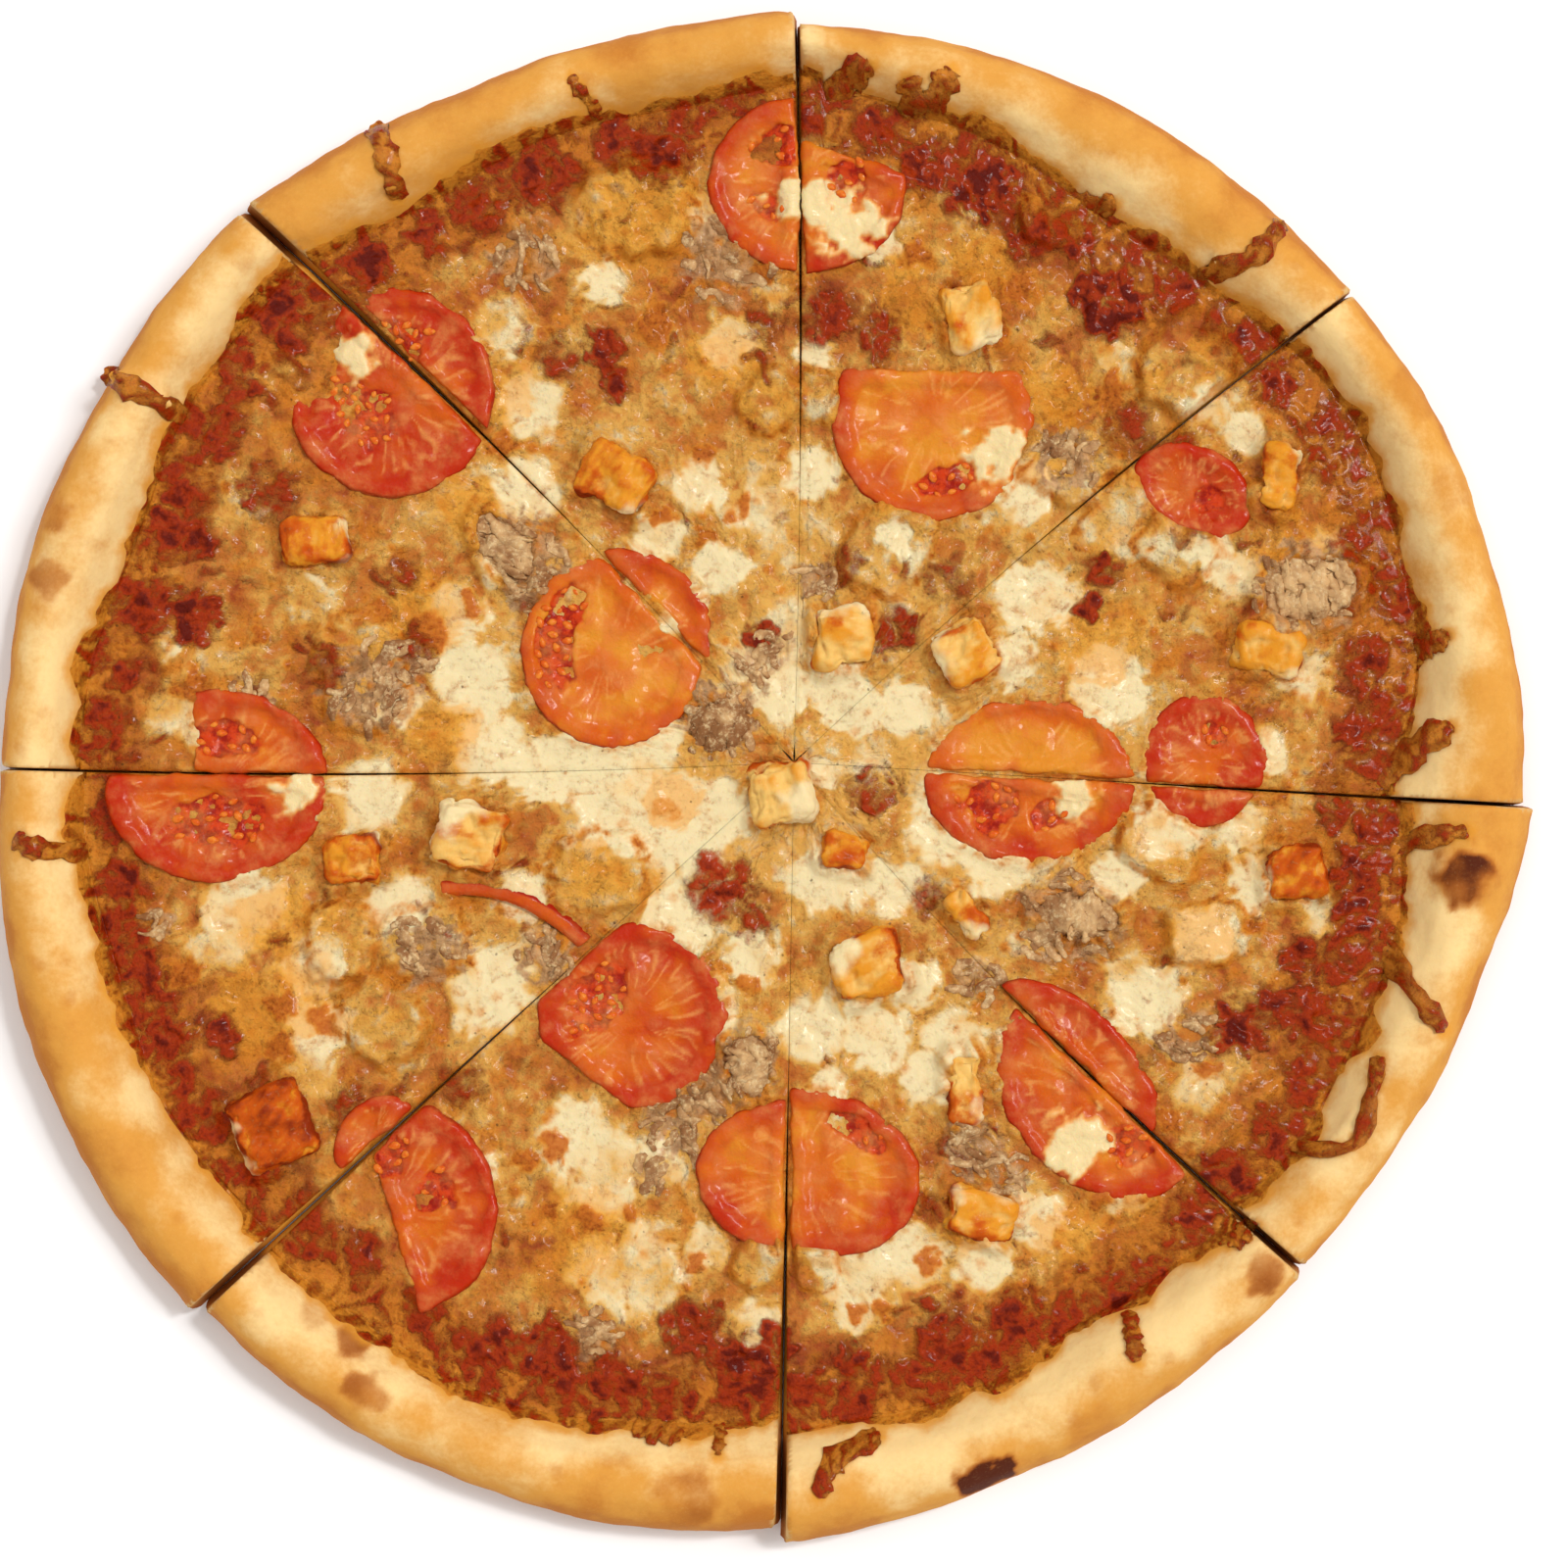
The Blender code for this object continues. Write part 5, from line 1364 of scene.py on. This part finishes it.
TOMATOES = (
    TomatoSlice("tomato_1a", (2.7, 131.7), (22.6, 20.6), 0, 0.45,
                (Pocket(120, 30, 0.25, 0.7), Pocket(215, 22, 0.3, 0.6)), 8, (Patch(1.5, 128, 6.5),)),
    TomatoSlice("tomato_1b", (2.7, 131.7), (23.6, 20.6), 0, 0.6, (Pocket(0, 34, 0.18, 0.6),), 6,
                (Patch(12, 122.5, 8), Patch(5, 127, 6))),
    TomatoSlice("tomato_2a", (-91.8, 84), (24, 24), 0, 1.15, (Pocket(215, 60, 0, 0.55),), 18,
                (Patch(-100, 93.5, 6),), (Patch(-122.5, 98.5, 22.5),)),
    TomatoSlice("tomato_2b", (-91.8, 84.6), (24, 24), 0, 1, (Pocket(78, 26, 0.25, 0.68),), 9),
    TomatoSlice("tomato_3", (31.6, 77.9), (23.5, 23.5), 0, 0.28, (Pocket(285, 30, 0.45, 0.75),), 7,
                (Patch(46, 70.5, 7),)),
    TomatoSlice("tomato_4a", (-41.4, 25.5), (21.5, 22.6), 0, 0.2, (Pocket(165, 52, 0.42, 0.82),), 20),
    TomatoSlice("tomato_4b", (-39.8, 27), (22, 22.4), 0, 0.35),
    TomatoSlice("tomato_5", (90.9, 61.8), (14.5, 10.5), -25, 1.15, (Pocket(0, 70, 0, 0.5),), 0),
    TomatoSlice("tomato_6a", (53.7, -3.6), (24.4, 18.6), 0, -0.05),
    TomatoSlice("tomato_6b", (53.7, -4.3), (24.4, 19), 0, 0.45,
                (Pocket(215, 36, 0.15, 0.72), Pocket(300, 28, 0.25, 0.62)), 14, (Patch(64, -7.5, 5.5),)),
    TomatoSlice("tomato_7a", (93.6, 0.8), (14.6, 15), 0, 1, (Pocket(70, 30, 0.2, 0.6),), 3),
    TomatoSlice("tomato_7b", (93.6, 0.8), (14, 15.6), -8, 1),
    TomatoSlice("tomato_8a", (-130.8, -4.6), (25.2, 21.4), 0, 0.6, (Pocket(85, 40, 0.28, 0.66),), 8),
    TomatoSlice("tomato_8b", (-131.7, -6), (25.7, 21.7), 0, 0.85, (Pocket(270, 62, 0, 0.62),), 12,
                (Patch(-113, -6.5, 5),)),
    TomatoSlice("tomato_9", (-37, -57.8), (22, 21.4), 0, 0.8, (Pocket(150, 55, 0.12, 0.66),), 14),
    TomatoSlice("tomato_10a", (-91.8, -101.7), (25, 25), 0, 0.85,
                (Pocket(20, 26, 0.2, 0.6), Pocket(95, 24, 0.3, 0.66)), 8),
    TomatoSlice("tomato_10b", (-95.5, -85), (11, 8), 45, 0.85),
    TomatoSlice("tomato_11a", (2.7, -95.2), (25.6, 18.6), -8, 0.42, (), 0),
    TomatoSlice("tomato_11b", (3.4, -93.4), (26.4, 19.2), -12, 0.52, (Pocket(60, 24, 0.55, 0.82),), 3),
    TomatoSlice("tomato_12a", (64, -68.4), (24.5, 12.5), -46, 0.85),
    TomatoSlice("tomato_12b", (69.6, -75.6), (27.8, 20.4), -46, 0.7,
                (Pocket(150, 24, 0.35, 0.75), Pocket(340, 26, 0.3, 0.66)), 8, (Patch(65, -86.5, 7.5),)),
)


@dataclass
class Tomatoes:
    """The tomato slices, most of them cut in two, with their seeds."""

    voxel: float = 0.5
    seed_size: tuple[float, float, float] = (1.25, 0.8, 0.5)
    seed_gap: float = 2.6
    seed_tries: int = 400
    lowest_seed: float = 9.0
    dip: float = 4.5
    slices: tuple[TomatoSlice, ...] = TOMATOES
    finish: TomatoFinish = TomatoFinish()
    seed_finish: SeedFinish = SeedFinish()

    def build(self) -> None:
        """Make every slice, then the seeds."""
        material = self.finish.material()
        seeds = bmesh.new()
        draw = np.random.default_rng(5)
        for piece in self.slices:
            mesh = self._slice(piece)
            self._sow(piece, Ground(mesh), seeds, draw)
            add_piece(mesh, piece.name + "_baked", material, Slot.TOMATO, piece.name)
        self._curl(material)
        add_piece(as_mesh(seeds, "tomato_seeds"), "tomato_seeds", self.seed_finish.material(), Slot.TOMATO)

    @staticmethod
    def _round(piece: TomatoSlice, points: Points) -> tuple[Points, Points]:
        """A tomato slice's own round measure of places: distance from its middle, and direction."""
        turned = math.radians(piece.turn)
        x = points[:, 0] - piece.centre[0]
        y = points[:, 1] - piece.centre[1]
        local_x = (x * math.cos(turned) + y * math.sin(turned)) / piece.radii[0]
        local_y = (-x * math.sin(turned) + y * math.cos(turned)) / piece.radii[1]
        return np.hypot(local_x, local_y), np.arctan2(local_y, local_x)

    def _slice(self, piece: TomatoSlice) -> bpy.types.Mesh:
        """One piece: wavy skin, sunken gel, veins and cheese that ran into it."""
        mesh = remeshed(merged_copy(piece.name), piece.name + "_baked", self.voxel)
        relax(mesh, 12)
        points = read_points(mesh)
        normals = read_normals(mesh)
        ring, turn = self._round(piece, points)
        up = ease(normals[:, 2], 0.1, 0.7)
        rough = 0.30 * NOISE.cloud(points, 5.0, 3)
        gel = np.zeros(len(points))
        for pocket in piece.pockets:
            gel = np.maximum(gel, pocket.cover(ring, turn, rough))
        gel *= up
        cheese = cover_all(piece.cheese, points, rough * 2.2) * up
        sway = 0.35 * NOISE.cloud(points + 81.0, 9.0, 2)
        spokes = np.column_stack((turn * 4.0 + sway, ring * 1.6 + sway, np.full(len(ring), piece.centre[0])))
        vein = NOISE.ridges(spokes, 1.0, 2) * ease(ring, 0.12, 0.3) * ease(ring, 0.9, 0.7) * up
        vein *= 1.0 - gel
        circle = np.column_stack((np.cos(turn), np.sin(turn)))
        shows = 0.5 + 0.9 * NOISE.cloud(circle * 3.0 + piece.centre, 2.2, 1)
        edge = ease(ring, 0.90, 0.985)
        skin = edge * ease(normals[:, 2], 0.95, 0.4)
        skin = np.maximum(skin, ease(ring, 0.95, 0.99) * np.clip(shows, 0.0, 1.0))
        wave = 0.55 * NOISE.cloud(points + 60.0, 11.0, 2) + 0.15 * NOISE.cloud(points + 33.0, 2.5, 2)
        wave += 0.25 * NOISE.cloud(points + 93.0, 5.0, 2)
        lift = wave - 0.75 * gel + 0.45 * gel * NOISE.cloud(points + 44.0, 2.2, 2)
        lift += 0.12 * vein + cheese * (0.9 + 0.4 * NOISE.cloud(points + 77.0, 3.0, 2))
        sunk = cover_all(piece.sunk, points, 0.12 * NOISE.cloud(points + 18.0, 6.0, 2))
        moved = points + normals * (lift * np.where(normals[:, 2] < -0.3, 0.0, 1.0))[:, None]
        moved[:, 2] -= self.dip * sunk
        write_points(mesh, moved)
        tone = piece.tone - 0.36 + 0.78 * ease(ring, 0.45, 1.0) + 0.60 * NOISE.cloud(points + 12.0, 11.0, 3)
        paint(mesh, gel=gel, cheese=cheese, vein=vein, skin=skin, tone=tone)
        return mesh

    def _sow(self, piece: TomatoSlice, ground: Ground, seeds: bmesh.types.BMesh,
             draw: np.random.Generator) -> None:
        """Scatter seeds over a piece's pockets."""
        placed: list[tuple[float, float]] = []
        tries = 0
        while piece.pockets and len(placed) < piece.seeds and tries < self.seed_tries:
            tries += 1
            pocket = piece.pockets[int(draw.integers(len(piece.pockets)))]
            turn = math.radians(pocket.angle + pocket.spread * float(draw.uniform(-0.85, 0.85)))
            ring = float(draw.uniform(pocket.near + 0.06, pocket.far))
            turned = math.radians(piece.turn)
            local_x = ring * math.cos(turn) * piece.radii[0]
            local_y = ring * math.sin(turn) * piece.radii[1]
            x = piece.centre[0] + local_x * math.cos(turned) - local_y * math.sin(turned)
            y = piece.centre[1] + local_x * math.sin(turned) + local_y * math.cos(turned)
            height = ground.height(x, y, -1.0)
            crowded = any(math.hypot(x - a, y - b) < self.seed_gap for a, b in placed)
            if height < self.lowest_seed or crowded:
                continue
            placed.append((x, y))
            heading = float(draw.uniform(0.0, FULL_TURN))
            self._seed(seeds, x, y, height, heading, float(draw.uniform(0.8, 1.25)))

    def _seed(self, bm: bmesh.types.BMesh, x: float, y: float, height: float, turn: float,
              size: float) -> None:
        """Add one teardrop seed."""
        made = bmesh.ops.create_uvsphere(bm, u_segments=8, v_segments=6, radius=1.0)["verts"]
        for vert in made:
            vert.co.y *= 1.0 - 0.45 * max(vert.co.x, 0.0)
        scale = Matrix.Diagonal((*(size * v for v in self.seed_size), 1.0))
        place = Matrix.Translation((x + HUB.x, y + HUB.y, height))
        matrix = Matrix.Scale(MM, 4) @ place @ Matrix.Rotation(turn, 4, "Z") @ scale
        bmesh.ops.transform(bm, matrix=matrix, verts=made)

    def _curl(self, material: bpy.types.Material) -> None:
        """The loose curl of skin."""
        mesh = remeshed(merged_copy("tomato_skin"), "tomato_skin_curl", 0.4)
        relax(mesh, 5)
        points = read_points(mesh)
        normals = read_normals(mesh)
        lift = 0.25 * NOISE.cloud(points, 6.0, 2)
        write_points(mesh, points + normals * lift[:, None])
        none = np.zeros(len(points))
        tone = 0.65 + 0.3 * NOISE.cloud(points + 5.0, 7.0, 2)
        skin = ease(normals[:, 0] * 0.5 + normals[:, 1], -0.2, 0.6)
        paint(mesh, gel=none, cheese=none, vein=none, skin=skin, tone=tone)
        add_piece(mesh, mesh.name, material, Slot.TOMATO, "tomato_skin")


CHICKEN_SPICE = {
    1: (0.75, 0.35), 2: (0.7, 0.35), 3: (0.25, 0.05), 4: (0.35, 0.1), 5: (0.3, 0.1), 6: (0.7, 0.4),
    7: (0.3, 0.25), 8: (1.0, 0.75), 9: (0.1, 0.05), 10: (0.7, 0.45), 11: (0.5, 0.2), 12: (0.4, 0.25),
    13: (0.4, 0.25), 14: (0.5, 0.15), 15: (0.75, 0.55), 16: (0.45, 0.1), 17: (0.55, 0.2),
}


@dataclass
class ChickenChunks:
    """The chunks of roast chicken."""

    voxel: float = 0.55
    finish: ChickenFinish = ChickenFinish()

    def build(self) -> None:
        """Make every chunk."""
        material = self.finish.material()
        for number, (spice, sear) in CHICKEN_SPICE.items():
            name = f"chicken_{number}"
            mesh = remeshed(merged_copy(name), name + "_roast", self.voxel)
            relax(mesh, 1)
            points = read_points(mesh)
            normals = read_normals(mesh)
            middle = points.mean(0)
            heading = 0.9 * number
            along = np.array((math.cos(heading), math.sin(heading)))
            down_grain = (points[:, :2] - middle[:2]) @ along
            across = (points[:, :2] - middle[:2]) @ np.array((-along[1], along[0]))
            fibre_place = np.column_stack((down_grain / 7.0, across / 1.3, points[:, 2] / 1.6)) + number * 9.0
            fibres = NOISE.cloud(fibre_place, 1.0, 2)
            chips = NOISE.cloud(points + number * 13.0, 5.0, 3)
            shape = NOISE.cloud(points + number * 29.0, 11.0, 2)
            lift = 0.32 * fibres + 0.5 * chips + 1.2 * shape - 1.1 * ease(chips, -0.3, -0.9)
            write_points(mesh, points + normals * lift[:, None])
            spread = np.abs(points - middle) / np.maximum(np.abs(points - middle).max(0), 1.0)
            corner = ease(np.sort(spread, axis=1)[:, 1], 0.70, 0.95)
            spice_field = spice + 0.12 + 0.5 * chips + 0.2 * fibres
            sear_field = sear + 0.08 + 0.75 * corner * (0.3 + sear) + 0.35 * chips - 0.15 * fibres
            stain = ease(NOISE.cloud(points + number * 53.0, 8.0, 2), -0.2, 0.5)
            sear_field += 0.6 * stain * ease(normals[:, 2], 0.85, 0.2) + 0.3 * (stain - 0.4)
            drawn = np.array((math.cos(1.7 * number - 3.4), math.sin(1.7 * number - 3.4)))
            cover = (points[:, :2] - middle[:2]) @ drawn / 9.0
            cover = cover + 0.45 * NOISE.cloud(points + number * 41.0, 7.0, 2)
            cover += 0.25 - 0.75 * spice
            paint(mesh, spice=spice_field, sear=sear_field, cover=cover)
            add_piece(mesh, mesh.name, material, Slot.CHICKEN, name)


@dataclass
class RimStrands:
    """Strands and drops of baked cheese on the rim."""

    dough: Heights

    def build(self, material: bpy.types.Material) -> None:
        """Make all strands as one piece."""
        bm = bmesh.new()
        for stroke in RIM_STROKES:
            stroke.add(bm, self.dough.at)
        bmesh.ops.remove_doubles(bm, verts=bm.verts, dist=0.001 * MM)
        bmesh.ops.recalc_face_normals(bm, faces=bm.faces)
        mesh = as_mesh(bm, "rim_strands")
        points = read_points(mesh)
        normals = read_normals(mesh)
        knobs = NOISE.cloud(points, 2.0, 2)
        write_points(mesh, points + normals * (0.55 * knobs + 0.25 * NOISE.cloud(points, 1.1, 1))[:, None])
        none = np.zeros(len(points))
        toast = 0.70 + 0.9 * knobs + 0.35 * NOISE.cloud(points + 31.0, 9.0, 1)
        sauce = 0.30 + 0.7 * knobs + 0.4 * NOISE.cloud(points + 51.0, 7.0, 1)
        paint(mesh, thick=none - 0.4, toast=toast, sauce=sauce, fat=none + 0.5, grey=none, soft=none)
        add_piece(mesh, "rim_strands", material, Slot.CHEESE)


HEAP_TONES = {1: -0.25, 2: 0.35, 3: 0.15, 4: 0.2, 5: 0.15}


@dataclass
class MeatHeaps:
    """Heaps of shredded meat, and loose shreds in the cheese."""

    cheese: Heights
    bed: float = 10.4
    shreds: int = 40
    loose: float = 1.5
    width: tuple[float, float] = (1.5, 3.4)
    length: tuple[float, float] = (4.0, 9.0)
    finish: MeatFinish = MeatFinish()

    def build(self) -> None:
        """Make every heap."""
        material = self.finish.material()
        for number in range(1, 6):
            name = f"meat_{number}"
            self._heap(name, number, material)
        self._scatter(material)

    def _scatter(self, material: bpy.types.Material) -> None:
        """Loose shreds that lie half sunk in the cheese, as one piece."""
        draw = np.random.default_rng(77)
        bm = bmesh.new()
        for patch in MEAT_STAINS:
            lie = float(draw.uniform(0.0, math.pi))
            for _ in range(int(self.loose * patch.radius)):
                around = float(draw.uniform(0.0, FULL_TURN))
                out = 0.85 * patch.radius * math.sqrt(float(draw.uniform(0.0, 1.0)))
                middle = np.array((patch.x + out * math.cos(around), patch.y + out * math.sin(around)))
                heading = lie + float(draw.normal(0.0, 0.5))
                along = np.array((math.cos(heading), math.sin(heading)))
                across = np.array((-along[1], along[0]))
                long = float(draw.uniform(2.5, 7.0))
                bend = float(draw.uniform(-0.3, 0.3)) * long
                ends = (middle - 0.5 * long * along, middle + bend * across, middle + 0.5 * long * along)
                stroke = Stroke(tuple(tuple(end) for end in ends), float(draw.uniform(1.0, 2.4)),
                                float(draw.uniform(0.6, 1.2)))
                stroke.add(bm, self.cheese.at, around=7, steps=10, taper=0.6, lift=0.05)
        mesh = as_mesh(bm, "meat_loose")
        points = read_points(mesh)
        lumps = 0.3 * NOISE.cloud(points, 2.2, 2)
        write_points(mesh, points + read_normals(mesh) * lumps[:, None])
        paint(mesh, shade=0.4 + 0.5 * NOISE.cloud(points + 4.0, 4.0, 2))
        add_piece(mesh, "meat_loose", material, Slot.MEAT)

    def _heap(self, name: str, number: int, material: bpy.types.Material) -> None:
        """One heap: its core, with shreds that lie over it every way."""
        draw = np.random.default_rng(40 + number)
        core = remeshed(merged_copy(name), name + "_shredded", 0.6)
        relax(core, 3)
        points = read_points(core)
        normals = read_normals(core)
        write_points(core, points + normals * (0.7 * NOISE.ridges(points, 3.0, 3) - 0.4)[:, None])
        ground = Ground(core)
        low, high = points.min(0), points.max(0)
        middle = 0.5 * (low + high)
        half = 0.5 * (high - low)
        bm = bmesh.new()
        bm.from_mesh(core)
        for _ in range(self.shreds):
            around = float(draw.uniform(0, FULL_TURN))
            out = 0.84 * math.sqrt(float(draw.uniform(0, 1)))
            x = middle[0] + half[0] * out * math.cos(around)
            y = middle[1] + half[1] * out * math.sin(around)
            heading = float(draw.normal(0.9 * number, 0.5))
            long = float(draw.uniform(*self.length))
            bend = float(draw.uniform(-0.35, 0.35)) * long
            along = np.array((math.cos(heading), math.sin(heading)))
            across = np.array((-along[1], along[0]))
            ends = [np.array((x, y)) + along * long * part + across * bend * (0.25 - part * part)
                    for part in (-0.5, 0.0, 0.5)]
            stroke = Stroke(tuple(tuple(end) for end in ends), float(draw.uniform(*self.width)),
                            float(draw.uniform(0.9, 1.7)))
            stroke.add(bm, lambda a, b: max(ground.height(a, b), self.bed), around=8, steps=12, taper=0.6)
        mesh = as_mesh(bm, name + "_shredded")
        points = read_points(mesh)
        lumps = 0.5 * NOISE.cloud(points, 3.0, 2) + 0.15 * NOISE.cloud(points * (1.0, 1.0, 3.0) + 9.0, 1.2, 1)
        write_points(mesh, points + read_normals(mesh) * lumps[:, None])
        shade = HEAP_TONES[number] + 0.5 * NOISE.cloud(points, 4.0, 3) + 0.5 * ease(points[:, 2], 10.8, 15.0)
        paint(mesh, shade=shade)
        add_piece(mesh, name + "_shredded", material, Slot.MEAT, name)


@dataclass
class Studio:
    """Camera straight above, soft light and a plain white floor."""

    view_centre: tuple[float, float] = (4.0, -1.6)
    view_width: float = 358.2
    distance: float = 1300.0
    level: float = 8.0
    sensor: float = 36.0
    sky: float = 0.68
    key: float = 1.02
    fill: float = 0.28
    glint: float = 0.82
    key_from: tuple[float, float, float] = (0.62, 0.24, 1.0)
    fill_from: tuple[float, float, float] = (-0.3, 0.7, 1.0)
    glint_from: tuple[float, float, float] = (0.40, 0.30, 1.0)
    floor_half: float = 4.0

    def build(self) -> None:
        """Set up the studio."""
        self._camera()
        self._lights()
        self._floor()

    def _camera(self) -> None:
        """The camera, looking straight down."""
        data = bpy.data.cameras.new("camera")
        data.sensor_width = self.sensor
        data.lens = self.sensor * self.distance / self.view_width
        data.clip_end = 10.0
        camera = bpy.data.objects.new("camera", data)
        x, y = self.view_centre
        camera.location = (x * MM, y * MM, (self.distance + self.level) * MM)
        bpy.context.scene.collection.objects.link(camera)
        bpy.context.scene.camera = camera

    def _sun(self, name: str, place: Vector, spread: float, power: float) -> None:
        """An even light from far off, with soft shadows, that shines from a place to the pizza."""
        data = bpy.data.lights.new(name, "SUN")
        data.angle = math.radians(spread)
        data.energy = power
        lamp = bpy.data.objects.new(name, data)
        lamp.location = place
        lamp.rotation_euler = place.to_track_quat("Z", "Y").to_euler()
        bpy.context.scene.collection.objects.link(lamp)

    def _lights(self) -> None:
        """A wide soft sky, a key light from the right, a weak fill and a small light for glints."""
        world = bpy.data.worlds.new("sky")
        world.use_nodes = True
        background = world.node_tree.nodes["Background"]
        background.inputs["Color"].default_value = (1.0, 0.99, 0.97, 1.0)
        background.inputs["Strength"].default_value = self.sky
        bpy.context.scene.world = world
        self._sun("key_light", Vector(self.key_from), spread=18.0, power=self.key)
        self._sun("fill_light", Vector(self.fill_from), spread=50.0, power=self.fill)
        self._sun("glint_light", Vector(self.glint_from), spread=6.0, power=self.glint)
        bpy.context.scene.view_settings.view_transform = "Standard"

    def _floor(self) -> None:
        """The floor."""
        bm = bmesh.new()
        bmesh.ops.create_grid(bm, x_segments=1, y_segments=1, size=self.floor_half)
        mesh = as_mesh(bm, "floor")
        mesh.materials.append(FloorFinish().material())
        floor = bpy.data.objects.new("floor", mesh)
        bpy.context.scene.collection.objects.link(floor)


def main() -> None:
    """Build the pizza from the crust up."""
    logging.basicConfig(level=logging.INFO, format="%(message)s")
    wedges = tuple(Wedge.from_frame(number) for number in range(1, 9))
    crust = Crust(wedges=wedges)
    crust.build()
    toppings = [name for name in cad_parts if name.split("_")[0] in ("tomato", "chicken", "meat")]
    prints = tuple(Footprint(name) for name in sorted(toppings))
    melted = CheeseFinish().material()
    topping = Topping(wedges=wedges, prints=prints, grounds=crust.grounds)
    topping.build(melted)
    Tomatoes().build()
    ChickenChunks().build()
    MeatHeaps(Heights(topping.surfaces, missing=9.0)).build()
    RimStrands(Heights(crust.grounds, missing=6.0)).build(melted)
    Studio().build()


if __name__ == "__main__":
    main()
